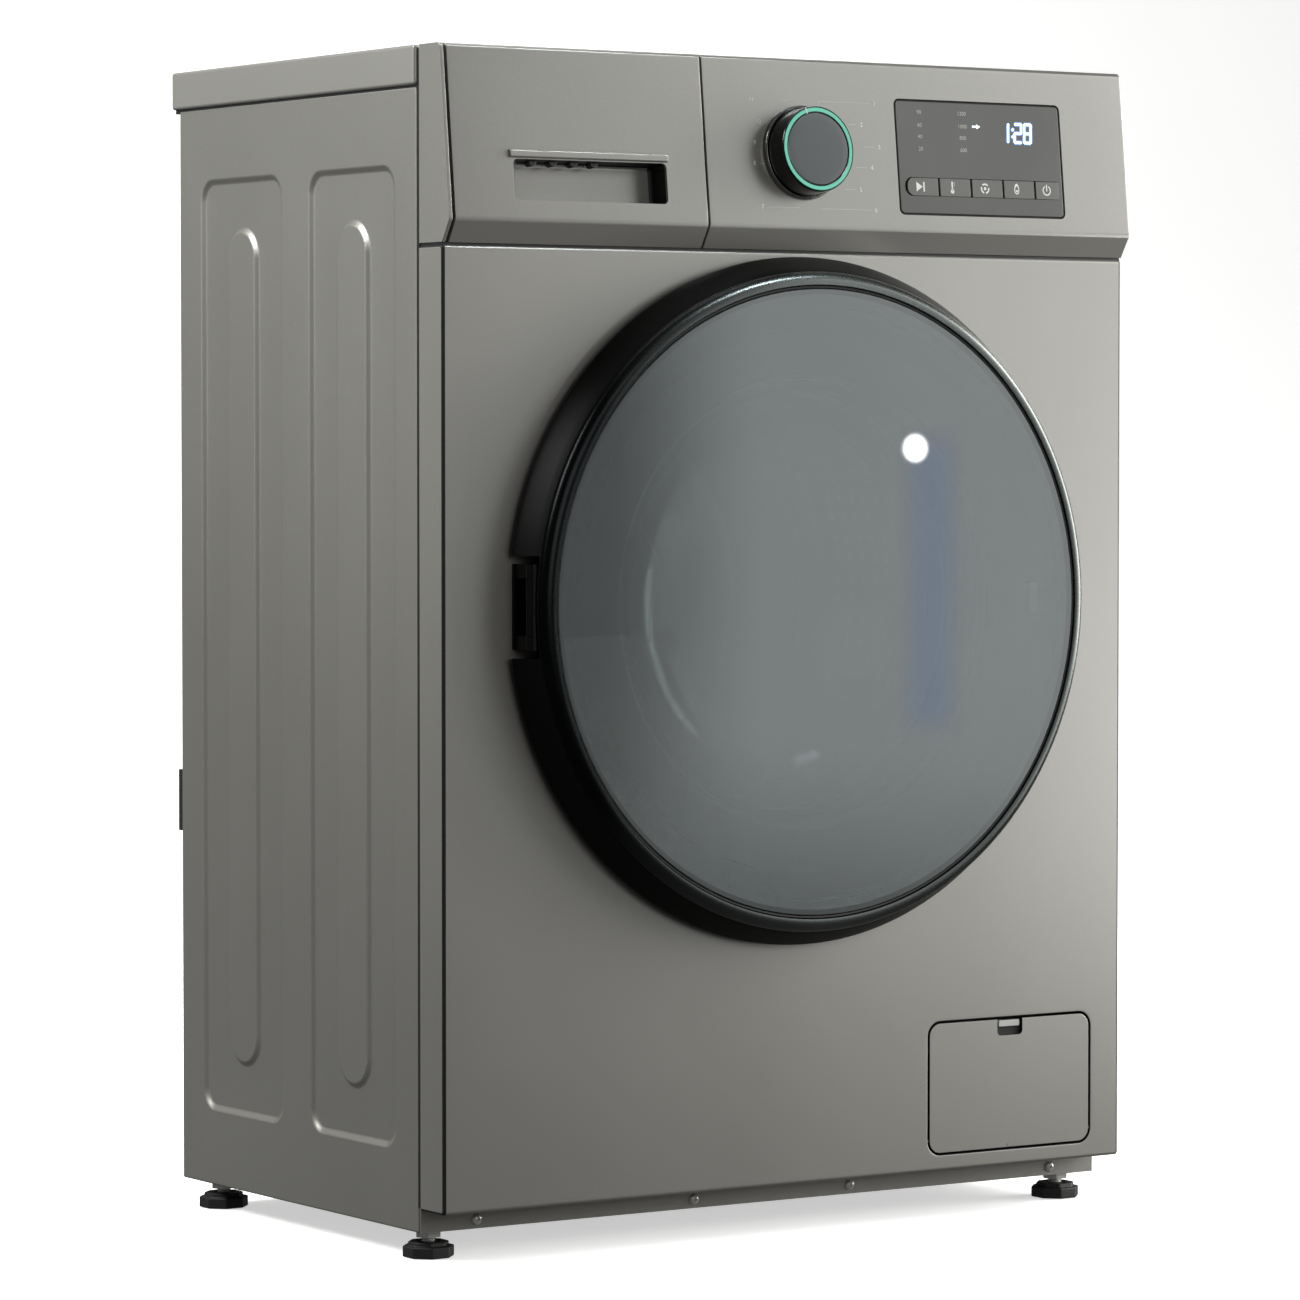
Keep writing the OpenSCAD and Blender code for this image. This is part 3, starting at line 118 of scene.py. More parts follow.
def pick(obj, kind, test):
    bpy.ops.mesh.select_all(action="DESELECT")
    bpy.ops.mesh.select_mode(type=kind)
    mesh = bmesh.from_edit_mesh(obj.data)
    for item in {"VERT": mesh.verts, "EDGE": mesh.edges, "FACE": mesh.faces}[kind]:
        item.select = bool(test(item))
    mesh.select_flush_mode()
    bmesh.update_edit_mesh(obj.data)


def pickFaces(obj, test):
    pick(obj, "FACE", test)


def pickEdges(obj, test):
    pick(obj, "EDGE", lambda e: test(e.verts[0].co, e.verts[1].co, e))


def openLoops(obj):
    pickEdges(obj, lambda a, b, e: len(e.link_faces) < 2)


def onPlane(a, b, axis, place):  # both ends of an edge lie in a plane across that axis
    return abs(a[axis] - place) < tiny and abs(b[axis] - place) < tiny


def push(x, y, z):  # extrudes what is picked, millimetres
    bpy.ops.mesh.extrude_region_move(TRANSFORM_OT_translate={"value": (x / 1000, y / 1000, z / 1000)})


def inset(thick, depth=0.0, each=False):  # millimetres
    bpy.ops.mesh.inset(thickness=thick / 1000, depth=depth / 1000, use_individual=each)


def bevel(offset, segments, affect="EDGES"):  # millimetres
    bpy.ops.mesh.bevel(offset=offset / 1000, segments=segments, affect=affect)


def openFace():
    bpy.ops.mesh.delete(type="ONLY_FACE")


def faceOut():
    pickAll()
    bpy.ops.mesh.normals_make_consistent(inside=False)


def welded():
    pickAll()
    bpy.ops.mesh.remove_doubles(threshold=tiny)
    bpy.ops.mesh.normals_make_consistent(inside=False)


def modify(obj, kind, **values):
    activate(obj)
    mod = obj.modifiers.new(kind.lower(), kind)
    for key, value in values.items():
        setattr(mod, key, value)
    bpy.ops.object.modifier_apply(modifier=mod.name)


def cutBy(obj, tool):
    modify(obj, "BOOLEAN", operation="DIFFERENCE", solver="EXACT", object=tool)
    bpy.data.objects.remove(tool, do_unlink=True)


def smooth(obj, angle):  # large flat faces keep their own normal
    activate(obj)
    bpy.ops.object.shade_smooth_by_angle(angle=math.radians(angle))
    modify(obj, "WEIGHTED_NORMAL", keep_sharp=True)


def settle(obj):  # the object's place goes into its mesh
    activate(obj)
    bpy.ops.object.transform_apply(location=True, rotation=True, scale=True)
    return obj


def joined(name, pieces):
    activate(pieces[0])
    for piece in pieces[1:]:
        piece.select_set(True)
    bpy.ops.object.join()
    return named(name)


def copied(obj, name):
    twin = obj.copy()
    twin.data = obj.data.copy()
    bpy.context.collection.objects.link(twin)
    twin.name = twin.data.name = name
    return twin


def blankSheet(name, x0, x1, y0, y1):  # a flat sheet's outline, left in edit mode; x across, y up, outside to +z
    deselect()
    bpy.ops.mesh.primitive_plane_add(size=1, location=((x0 + x1) / 2000, (y0 + y1) / 2000, 0))
    sheet = named(name)
    sheet.scale = ((x1 - x0) / 1000, (y1 - y0) / 1000, 1)
    settle(sheet)
    editing(sheet)
    pickAll()
    return sheet


def roundPlate(width, height, radius, centre=(0, 0), level=0.0, steps=8, leftRadius=None):  # added to a sheet
    x, y = centre[0] / 1000, centre[1] / 1000
    bpy.ops.mesh.select_all(action="DESELECT")
    bpy.ops.mesh.primitive_plane_add(size=1, location=(x, y, level / 1000))
    bpy.ops.transform.resize(value=(width / 1000, height / 1000, 1))
    if leftRadius:
        bpy.ops.mesh.select_mode(type="VERT")
        mesh = bmesh.from_edit_mesh(bpy.context.object.data)
        for v in [v for v in mesh.verts if v.select and v.co.x > x]:
            v.select = False
        mesh.select_flush_mode()
        bevel(leftRadius, steps * 2, "VERTICES")
        edge, half = x + width / 2000, height / 2000
        pick(bpy.context.object, "VERT", lambda v: abs(v.co.x - edge) < 1e-6 and abs(abs(v.co.y - y) - half) < 1e-6)
    if radius > 0:
        bevel(radius, steps, "VERTICES")
    bpy.ops.mesh.select_linked()


def opening(width, height, radius, centre, steps=8, leftRadius=None):
    roundPlate(width, height, radius, centre, 0, steps, leftRadius)
    openFace()


def fillBetween(obj, test=lambda c: True):
    pickEdges(obj, lambda a, b, e: len(e.link_faces) < 2 and test(a) and test(b))
    bpy.ops.mesh.fill(use_beauty=True)


def towardsZ(obj):
    faceOut()
    if sum(f.normal.z for f in bmesh.from_edit_mesh(obj.data).faces) < 0:
        bpy.ops.mesh.flip_normals()


def traced(name, points, centre):  # a line drawn from point to point, left in edit mode
    deselect()
    bpy.ops.mesh.primitive_plane_add(size=0.001, location=centre + Vector(points[0]) / 1000)
    obj = settle(named(name))
    editing(obj)
    bpy.ops.mesh.select_mode(type="VERT")
    pickAll()
    bpy.ops.mesh.merge(type="CENTER")
    pickAll()
    for before, after in zip(points, points[1:]):
        push(*[b - a for a, b in zip(before, after)])
    pickAll()
    return obj


def spun(name, points, steps=160, closed=True, centre=at(0, 0, doorZ)):  # a profile of radius and depth, spun round y
    obj = traced(name, [(r, y, 0) for r, y in points], centre)
    if closed:
        pick(obj, "VERT", lambda v: len(v.link_edges) == 1)
        bpy.ops.mesh.edge_face_add()
        pickAll()
    bpy.ops.mesh.spin(steps=steps, angle=math.tau, center=centre, axis=(0, 1, 0), use_auto_merge=True)
    welded()
    done()
    return obj


def softBlock(name, low, high, radius, steps=3):  # between two corners in machine millimetres, its edges rounded
    deselect()
    a, b = at(*low), at(*high)
    bpy.ops.mesh.primitive_cube_add(size=1, location=(a + b) / 2)
    obj = named(name)
    obj.scale = b - a
    settle(obj)
    if radius > 0:
        editing(obj)
        pickAll()
        bevel(radius, steps)
        done()
    return obj


def finished(obj, *materials):
    obj.data.materials.clear()
    for material in materials:
        obj.data.materials.append(material)
    return obj


def keep(obj, body, node=None, materials=(), angle=None):  # shaded, finished and tied to its body
    if angle:
        smooth(obj, angle)
    if materials:
        finished(obj, *materials)
    if body:
        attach(obj, body)
    if node:
        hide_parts(node)
    return obj


photoView = {"place": (-2.22935, -3.38157, 0.57426), "turn": (87.792, 0.0, -33.279), "lens": 149.66, "clip": (0.1, 60)}


def setCamera():
    data = bpy.data.cameras.new("photoCamera")
    data.lens = photoView["lens"]
    data.sensor_width = 36
    data.sensor_fit = "HORIZONTAL"
    data.clip_start, data.clip_end = photoView["clip"]
    camera = bpy.data.objects.new("photoCamera", data)
    camera.location = photoView["place"]
    camera.rotation_euler = [math.radians(a) for a in photoView["turn"]]
    scene.collection.objects.link(camera)
    scene.camera = camera


studio = {"sweep": (-9000, 9000, -9000, 5000), "level": -0.5, "wall": 6000, "bend": 2000, "bendSteps": 16,
          "worldLight": 0.125, "worldColour": (1.0, 0.995, 0.985, 1)}
warmWhite, greenWhite, paleWhite = (1.0, 0.985, 0.96), (0.99, 1.0, 0.98), (1.0, 0.995, 0.98)
lamps = [  # name, place, aimed at, width, height, power, colour
    ("rightSide", (2.4, -0.7, 0.9), (0.3, -0.18, 0.4), 0.9, 1.6, 86, warmWhite),
    ("rightLow", (1.2, -0.85, 0.3), (0.24, -0.18, 0.5), 0.5, 0.5, 5, warmWhite),
    ("sideLeft", (-2.0, 0.5, 2.0), (-0.3, 0.0, 0.75), 1.2, 1.0, 78, greenWhite),
    ("leftMirror", (-2.2, 1.6, 1.2), (-0.3, 0.0, 0.5), 1.2, 1.4, 8, greenWhite),
    ("frontTop", (1.75, -1.75, 1.3), (0.0, -0.18, 0.5), 1.1, 1.1, 16, paleWhite),
    ("frontFill", (-0.4, -2.4, 1.0), (0.0, -0.18, 0.4), 1.4, 1.0, 13, paleWhite),
    ("topSoft", (0.0, 1.0, 3.2), (0.0, 0.6, 0.0), 3.0, 2.0, 30, (1.0, 1.0, 0.99)),
    ("rearFill", (1.6, 2.3, 3.1), (0.0, 0.22, 0.5), 1.2, 1.2, 60, paleWhite),
    ("backWash", (0.0, 2.2, 3.6), (0.6, 4.6, 0.6), 5.0, 2.0, 160, (1.0, 1.0, 1.0)),
]
softBoxes = {  # place, aimed at, size, light, fade, colour
    "frontBox": ((0.750, -1.094, 0.68), (0.028, -0.195, 0.68), (0.875, 1.36), 1.2, 0.26, (250, 254, 255)),
    "blueStrip": ((0.772, -1.062, 0.45), (0.08, -0.215, 0.45), (0.11, 0.40), 1.4, 0.05, (202, 220, 255)),
    "roundSpot": ((0.752, -1.070, 0.613), (0.08, -0.215, 0.56), (0.046, 0.046), 32.0, 0.014, (255, 255, 255)),
    "topGlint": ((0.38, -0.84, 1.55), (0.03, -0.115, 0.40), (0.26, 0.18), 75.0, 0.05, (240, 250, 255)),
}


def aim(obj, place, target, axis):
    obj.location = place
    obj.rotation_euler = (Vector(target) - Vector(place)).to_track_quat(axis, "Y").to_euler()


def setStudio():
    sweep = blankSheet("paleSweep", *studio["sweep"])
    back = studio["sweep"][3] / 1000 - 0.01
    pickEdges(sweep, lambda a, b, e: min(a.y, b.y) > back)
    push(0, 0, studio["wall"])
    pickEdges(sweep, lambda a, b, e: min(a.y, b.y) > back and max(a.z, b.z) < 0.01)
    bevel(studio["bend"], studio["bendSteps"])
    done()
    moved(sweep, 0, 0, studio["level"])
    smooth(sweep, 60)
    sweep.visible_diffuse = sweep.visible_glossy = False  # no light comes up from the floor, as over a dark studio
    world = bpy.data.worlds.new("softRoom")
    world.use_nodes = True
    world.node_tree.nodes["Background"].inputs["Color"].default_value = studio["worldColour"]
    world.node_tree.nodes["Background"].inputs["Strength"].default_value = studio["worldLight"]
    scene.world = world
    for name, place, target, width, height, power, colour in lamps:
        data = bpy.data.lights.new(name, "AREA")
        data.shape = "RECTANGLE"
        data.size, data.size_y = width, height
        data.energy = power
        data.color = colour
        lamp = bpy.data.objects.new(name, data)
        aim(lamp, place, target, "-Z")
        lamp.visible_camera = False
        scene.collection.objects.link(lamp)
    scene.view_settings.view_transform = "Standard"
    return sweep


setCamera()
paleSweep = setStudio()
print("camera and studio set")


def linear(r, g, b):  # screen colour 0 to 255 to linear
    return tuple((c / 255 / 12.92) if c / 255 <= 0.04045 else ((c / 255 + 0.055) / 1.055) ** 2.4
                 for c in (r, g, b)) + (1.0,)


def tinted(colour, gain, lift=0):  # the same colour lighter or darker
    return linear(*[min(255, c * gain + lift) for c in colour])


class Finish:  # a material built on Object coordinates
    sockets = {"colour": "Base Color", "metal": "Metallic", "rough": "Roughness", "coat": "Coat Weight",
               "coatRough": "Coat Roughness", "through": "Transmission Weight", "ior": "IOR",
               "specular": "Specular IOR Level", "glow": "Emission Color", "glowPower": "Emission Strength",
               "opacity": "Alpha"}

    def __init__(self, name):
        self.material = bpy.data.materials.new(name)
        self.material.use_nodes = True
        self.tree = self.material.node_tree
        self.shader = self.tree.nodes["Principled BSDF"]
        self.coords = self.tree.nodes.new("ShaderNodeTexCoord")

    def node(self, kind, **values):
        made = self.tree.nodes.new("ShaderNode" + kind)
        for key, value in values.items():
            if hasattr(made, key):
                setattr(made, key, value)
            else:
                made.inputs[key.replace("_", " ")].default_value = value
        return made

    def feed(self, value, socket):  # a link, or a constant on the socket itself
        if hasattr(value, "links"):
            self.tree.links.new(value, socket)
        else:
            socket.default_value = value

    def scaled(self, size):
        mapping = self.node("Mapping", Scale=size if isinstance(size, tuple) else (size,) * 3)
        self.feed(self.coords.outputs["Object"], mapping.inputs["Vector"])
        return mapping.outputs["Vector"]

    def split(self):
        made = self.node("SeparateXYZ")
        self.feed(self.coords.outputs["Object"], made.inputs["Vector"])
        return made.outputs

    def noise(self, size, detail=3.0, rough=0.55):
        made = self.node("TexNoise", Scale=1.0, Detail=detail, Roughness=rough)
        self.feed(self.scaled(size), made.inputs["Vector"])
        return made.outputs["Fac"]

    def ramp(self, value, low, high):
        made = self.node("ValToRGB")
        for stop, place, colour in zip(made.color_ramp.elements, (0.3, 0.7), (low, high)):
            stop.position, stop.color = place, colour
        self.feed(value, made.inputs["Fac"])
        return made.outputs["Color"]

    def span(self, value, low, high):
        made = self.node("MapRange", To_Min=low, To_Max=high)
        self.feed(value, made.inputs["Value"])
        return made.outputs["Result"]

    def mix(self, first, second, amount):
        made = self.node("Mix", data_type="RGBA")
        for value, socket in ((first, 6), (second, 7), (amount, 0)):
            self.feed(value, made.inputs[socket])
        return made.outputs[2]

    def math(self, kind, first, second=0.0):
        made = self.node("Math", operation=kind)
        self.feed(first, made.inputs[0])
        self.feed(second, made.inputs[1])
        return made.outputs[0]

    def brightEdges(self, amount, most):  # brighter along the edges, from the mesh's pointiness
        edge = self.span(self.node("NewGeometry").outputs["Pointiness"], -4.5, 5.5)
        return self.math("MINIMUM", self.math("MULTIPLY", edge, amount), most)

    def bump(self, value, strength, distance=0.0001):
        made = self.node("Bump", Strength=strength, Distance=distance)
        self.feed(value, made.inputs["Height"])
        self.feed(made.outputs["Normal"], self.shader.inputs["Normal"])

    def put(self, **values):
        for key, value in values.items():
            self.feed(value, self.shader.inputs[self.sockets[key]])
        return self.material


def sprayedSteel(name, light, dark, roughness, metal):  # metallic paint over pressed sheet
    f = Finish(name)
    cloud = f.noise((3.2, 3.2, 2.4), 4.0)
    flake = f.noise(2600, 1.0)
    peel = f.noise(420, 2.0)
    tone = f.ramp(cloud, linear(*dark), linear(*light))
    tone = f.mix(tone, f.ramp(flake, linear(98, 97, 92), linear(172, 170, 164)), 0.16)
    tone = f.mix(tone, linear(170, 168, 162), f.brightEdges(0.10, 0.25))
    f.bump(f.math("ADD", f.math("MULTIPLY", flake, 0.4), peel), 0.05)
    return f.put(colour=tone, metal=metal, rough=f.span(cloud, *roughness), coat=0.25, coatRough=0.2)


def mouldedPlastic(name, colour, roughness, grain=1500, depth=0.08, specular=0.5, edge=0.12):
    f = Finish(name)
    cloud = f.noise(14)
    tone = f.mix(linear(*colour), tinted(colour, 1.12, 4), cloud)
    tone = f.mix(tone, tinted(colour, 1.25, 22), f.brightEdges(edge, 0.3))
    f.bump(f.noise(grain, 2.0), depth)
    return f.put(colour=tone, rough=f.span(cloud, *roughness), specular=specular)


def bareMetal(name, colour, roughness, streak=(900, 30, 900), depth=0.06, metal=1.0):
    f = Finish(name)
    grain = f.noise(streak)
    smudge = f.noise(18)
    tone = f.mix(linear(*colour), tinted(colour, 0.84), grain)
    tone = f.mix(tone, tinted(colour, 1.15), f.brightEdges(0.2, 0.4))
    f.bump(grain, depth)
    wear = f.math("ADD", f.math("MULTIPLY", grain, 0.5), f.math("MULTIPLY", smudge, 0.5))
    return f.put(colour=tone, metal=metal, rough=f.span(wear, *roughness))


def paintedShadeRing(name, left, middle, right, reach, roughness):  # painted shade: darker at the left, lightest across the middle and mid grey at the right, as the light falls across the ring; with a fine grain
    f = Finish(name)
    grain = f.noise(700)
    along = f.node("MapRange", From_Min=-reach, From_Max=reach)
    f.feed(f.split()["X"], along.inputs["Value"])
    shade = f.node("ValToRGB")
    shade.color_ramp.elements.new(0.5)
    for stop, place, colour in zip(shade.color_ramp.elements, (0.1, 0.5, 0.95), (left, middle, right)):
        stop.position, stop.color = place, linear(*colour)
    f.feed(along.outputs["Result"], shade.inputs["Fac"])
    tone = f.mix(shade.outputs["Color"], linear(40, 42, 42), f.math("MULTIPLY", grain, 0.16))
    f.bump(grain, 0.02)
    return f.put(colour=tone, metal=1.0, rough=f.span(grain, *roughness))


def rubberFinish(name, colour):
    f = Finish(name)
    dust = f.noise(40, 4.0)
    tone = f.mix(linear(*colour), tinted(colour, 1.2, 8), dust)
    f.bump(f.noise(900, 2.0), 0.12, 0.0002)
    return f.put(colour=tone, rough=f.span(dust, 0.45, 0.62), specular=0.35)


def tintedPane(name):  # the smoked outer window
    f = Finish(name)
    smear = f.noise(5)
    tone = f.ramp(smear, linear(148, 157, 158), linear(156, 164, 164))
    return f.put(colour=tone, rough=f.span(smear, 0.0, 0.015), through=0.79, ior=1.9)


def clearBowl(name):
    f = Finish(name)
    ripple = f.noise(22, 2.0)
    tone = f.ramp(ripple, linear(236, 243, 241), linear(246, 250, 249))
    f.bump(f.noise(14, 2.0), 0.1, 0.002)
    return f.put(colour=tone, rough=f.span(ripple, 0.0, 0.01), through=1.0, ior=1.5)


def litInk(name, colour, power):
    f = Finish(name)
    tone = f.mix(linear(*colour), tinted(colour, 1.1, 10), f.noise(700, 2.0))
    return f.put(colour=tone, rough=0.5, glow=linear(*colour), glowPower=power)


def printedInk(name, colour):
    f = Finish(name)
    patch = f.noise(1200, 2.0)
    tone = f.mix(linear(*colour), tinted(colour, 0.9), patch)
    f.bump(patch, 0.05)
    return f.put(colour=tone, rough=f.span(patch, 0.5, 0.65))


def concreteFinish(name):
    f = Finish(name)
    cloud = f.noise(20, 6.0, 0.65)
    pore = f.node("TexVoronoi", Scale=1.0)
    f.feed(f.scaled(160), pore.inputs["Vector"])
    tone = f.ramp(cloud, linear(150, 146, 138), linear(186, 183, 174))
    f.bump(f.math("ADD", cloud, f.math("MULTIPLY", pore.outputs["Distance"], 0.6)), 0.5, 0.001)
    return f.put(colour=tone, rough=f.span(cloud, 0.8, 0.95))


def boardFinish(name):
    f = Finish(name)
    brick = f.node("TexBrick", Scale=1.0, Color1=linear(24, 70, 46), Color2=linear(30, 84, 55),
                   Mortar=linear(120, 150, 96), Mortar_Size=0.012)
    f.feed(f.scaled(160), brick.inputs["Vector"])
    return f.put(colour=brick.outputs["Color"], rough=f.span(f.noise(90), 0.3, 0.5))


def floorFinish(name):
    f = Finish(name)
    wash = f.noise(1.4)
    tone = f.ramp(wash, linear(243, 243, 241), linear(247, 247, 246))
    f.bump(f.noise(90, 2.0), 0.02, 0.0005)
    return f.put(colour=tone, rough=f.span(wash, 0.55, 0.68), specular=0.1, glow=linear(255, 255, 255), glowPower=0.55)


cabinetPaint = sprayedSteel("cabinetPaint", (133, 132, 128), (126, 125, 121), (0.34, 0.42), 0.55)
lidPaint = sprayedSteel("lidPaint", (140, 139, 135), (133, 132, 128), (0.36, 0.46), 0.45)
fasciaPlastic = sprayedSteel("fasciaPlastic", (138, 137, 133), (131, 130, 126), (0.25, 0.32), 0.5)
smokedPanel = mouldedPlastic("smokedPanel", (70, 70, 67), (0.16, 0.24), 600, 0.02, 0.6, 0.06)
buttonFace = mouldedPlastic("buttonFace", (72, 72, 69), (0.3, 0.4), 1500, 0.05, 0.5, 0.1)
# black for dark parts such as the pane's gasket and the display's bed, and painted shade in the folds, gaps, seams and
# drawer recess
blackAndPaintedShade = mouldedPlastic("blackAndPaintedShade", (10, 10, 10), (0.5, 0.65), 900, 0.08, 0.3, 0.0)
glossBlack = mouldedPlastic("glossBlack", (7, 7, 7), (0.12, 0.22), 700, 0.02, 0.45, 0.02)
doorBlack = mouldedPlastic("doorBlack", (3, 3, 3), (0.34, 0.46), 1300, 0.06, 0.12, 0.0)
blackPlastic = mouldedPlastic("blackPlastic", (22, 22, 22), (0.4, 0.55), 1400, 0.12, 0.4, 0.08)
knobGrey = bareMetal("knobGrey", (78, 80, 80), (0.34, 0.46), (1400, 40, 1400), 0.03)
bezelChrome = bareMetal("bezelChrome", (128, 128, 126), (0.2, 0.3), (1200, 60, 1200), 0.02)
tealRing = litInk("tealRing", (74, 168, 143), 0.25)
tabGrey = mouldedPlastic("tabGrey", (150, 151, 148), (0.3, 0.4), 1200, 0.05)
# painted shade: the trim ring is near black at the left, lightest across the middle and mid grey at the right, as the
# light falls
trimGrey = paintedShadeRing("trimGrey", (20, 21, 22), (96, 100, 98), (60, 63, 62), 0.237, (0.24, 0.32))
outerGlass = tintedPane("outerGlass")
bowlGlass = clearBowl("bowlGlass")
whitePlastic = mouldedPlastic("whitePlastic", (222, 222, 216), (0.4, 0.52), 1300, 0.06)
sealGrey = rubberFinish("sealGrey", (84, 86, 86))
beltBlack = rubberFinish("beltBlack", (20, 20, 20))
zincSteel = bareMetal("zincSteel", (212, 212, 208), (0.22, 0.38), metal=0.5)
castAlloy = bareMetal("castAlloy", (168, 170, 171), (0.45, 0.65), 120, 0.3)
motorIron = bareMetal("motorIron", (96, 98, 100), (0.42, 0.6), 200, 0.2)
drumSteel = bareMetal("drumSteel", (196, 198, 198), (0.3, 0.36), 900, 0.0)
concrete = concreteFinish("concrete")
boardGreen = boardFinish("boardGreen")
filterGrey = mouldedPlastic("filterGrey", (176, 178, 180), (0.35, 0.5), 1200, 0.1)
digitGlow = litInk("digitGlow", (206, 234, 255), 1.6)
# painted glow: the halo is a wider lit bar behind the digits, standing in for their light spreading through the display
haloGlow = litInk("haloGlow", (88, 128, 190), 0.8)
whiteInk = printedInk("whiteInk", (226, 227, 224))
faintInk = printedInk("faintInk", (176, 177, 174))
finished(paleSweep, floorFinish("paleFloor"))


def softBoxFinish(name, size, light, fade, colour):  # fades out towards the edges of the box
    f = Finish(name + "Cloth")
    across, up = [f.math("ABSOLUTE", f.split()[axis]) for axis in "XY"]
    if name == "roundSpot":
        across = up = f.math("SQRT", f.math("ADD", *[f.math("MULTIPLY", v, v) for v in (across, up)]))
    edges = []
    for value, width in zip((across, up), size):
        edge = f.node("MapRange", interpolation_type="SMOOTHSTEP", From_Min=width / 2, From_Max=width / 2 - fade)
        f.feed(value, edge.inputs["Value"])
        edges.append(edge.outputs["Result"])
    mask = f.math("MULTIPLY", *edges)
    return f.put(colour=linear(0, 0, 0), specular=0.0, glow=linear(*colour), glowPower=light, opacity=mask)


def setSoftBox(name, place, target, size, light, fade, colour):
    box = blankSheet(name, -500 * size[0], 500 * size[0], -500 * size[1], 500 * size[1])
    inset(fade * 500)
    done()
    aim(box, place, target, "Z")
    box.visible_camera = box.visible_shadow = False
    box.visible_diffuse = False  # only mirrored: the lamps light the room
    finished(box, softBoxFinish(name, size, light, fade, colour))


for name, values in softBoxes.items():
    setSoftBox(name, *values)
cadFinish = {
    cabinetPaint: ["rear_panel", "service_cover", "kick_rail"],
    boardGreen: ["display_board"],
    whitePlastic: ["drawer_tray", "dispenser_housing", "inlet_valve", "tub_front", "tub_rear", "drum_lifters"],
    blackPlastic: ["door_inner_ring", "door_lock", "transit_caps", "drain_pump", "hose_clip", "cord_gland",
                   "drain_outlet"],
    zincSteel: ["foot_nuts", "latch_hook", "drum_shaft", "shaft_bearings", "motor_pulley", "heater"],
    castAlloy: ["drum_spider", "drum_pulley"],
    motorIron: ["motor"],
    concrete: ["counterweights"],
    filterGrey: ["pump_filter"],
    beltBlack: ["drive_belt"],
    doorBlack: ["hinge_bracket", "hinge_arm"],
}
for material, names in cadFinish.items():
    for node in names:
        finished(nodes[node], material)
print("finishes made")

sidePanel = {"y": (33.6, 380.0), "z": (20.0, 821.5), "x": 297.5, "fieldY": (125.0, 286.0), "fieldZ": 422.0,
             "fieldHalf": 70, "field": (123.0, 694.0, 17.0), "bead": (48.5, 620.0, 24.0), "depth": 2.6, "run": 5.5,
             "edge": 10.0, "fold": 1.6, "border": 2.0, "weld": 5e-6}
sheetThick = 0.0009  # m


def pressed(run, depth, steps=6):  # one wall of a pressing, drawn as a soft S of narrow insets
    level = 0.0
    for i in range(1, steps + 1):
        reach = depth * (1 - math.cos(math.pi * i / steps)) / 2
        inset(run / steps, reach - level)
        level = reach


def makeSidePanel():
    p = sidePanel
    panel = blankSheet("sidePanelRight", *p["y"], *p["z"])
    openFace()
    floor = p["depth"] / 1000
    for y in p["fieldY"]:
        roundPlate(*p["field"], (y, p["fieldZ"]))
        pressed(p["run"], -p["depth"])
        openFace()
        roundPlate(*p["bead"], (y, p["fieldZ"]), -p["depth"], 12)
        pressed(p["run"], p["depth"])
        fillBetween(panel, lambda c, y=y: abs(c.z + floor) < tiny and abs(c.x * 1000 - y) < p["fieldHalf"])
    fillBetween(panel, lambda c: abs(c.z) < 1e-6)
    pickAll()
    bpy.ops.mesh.remove_doubles(threshold=p["weld"])
    bpy.ops.mesh.normals_make_consistent(inside=False)
    inset(p["border"])
    pickEdges(panel, lambda a, b, e: e.is_boundary)
    push(0, 0, -p["edge"])
    pickEdges(panel, lambda a, b, e: len(e.link_faces) == 2 and e.calc_face_angle(0) > 1.2)
    bevel(p["fold"], 4)
    done()
    modify(panel, "SOLIDIFY", thickness=sheetThick, offset=-1)
    return panel


rightPanel = makeSidePanel()
leftPanel = copied(rightPanel, "sidePanelLeft")
turnRight = Matrix(((0, 0, 1, sidePanel["x"] / 1000), (1, 0, 0, frontY / 1000), (0, 1, 0, 0), (0, 0, 0, 1)))
rightPanel.data.transform(turnRight)
leftPanel.data.transform(Matrix.Scale(-1, 4, (1, 0, 0)) @ turnRight)
leftPanel.data.flip_normals()
keep(rightPanel, "cabinet", "right_side_panel", [cabinetPaint], 35)
keep(leftPanel, "cabinet", "left_side_panel", [cabinetPaint], 35)
print("side panels pressed")

frontSheet = {"x": 297.5, "z": (36.0, 710.4), "wrap": 30.9, "fold": 2.4, "porthole": 178.0, "lip": 9.0, "border": 3.0,
              "flap": (194.8, 97.1, 151.0, 99.2, 11.0), "slot": (209.0, 459.0, 26.0, 24.0, 2.0), "turned": 3.0,
              "edge": 0.7, "foldX": 0.29, "flapHalf": (0.077, 0.0505)}


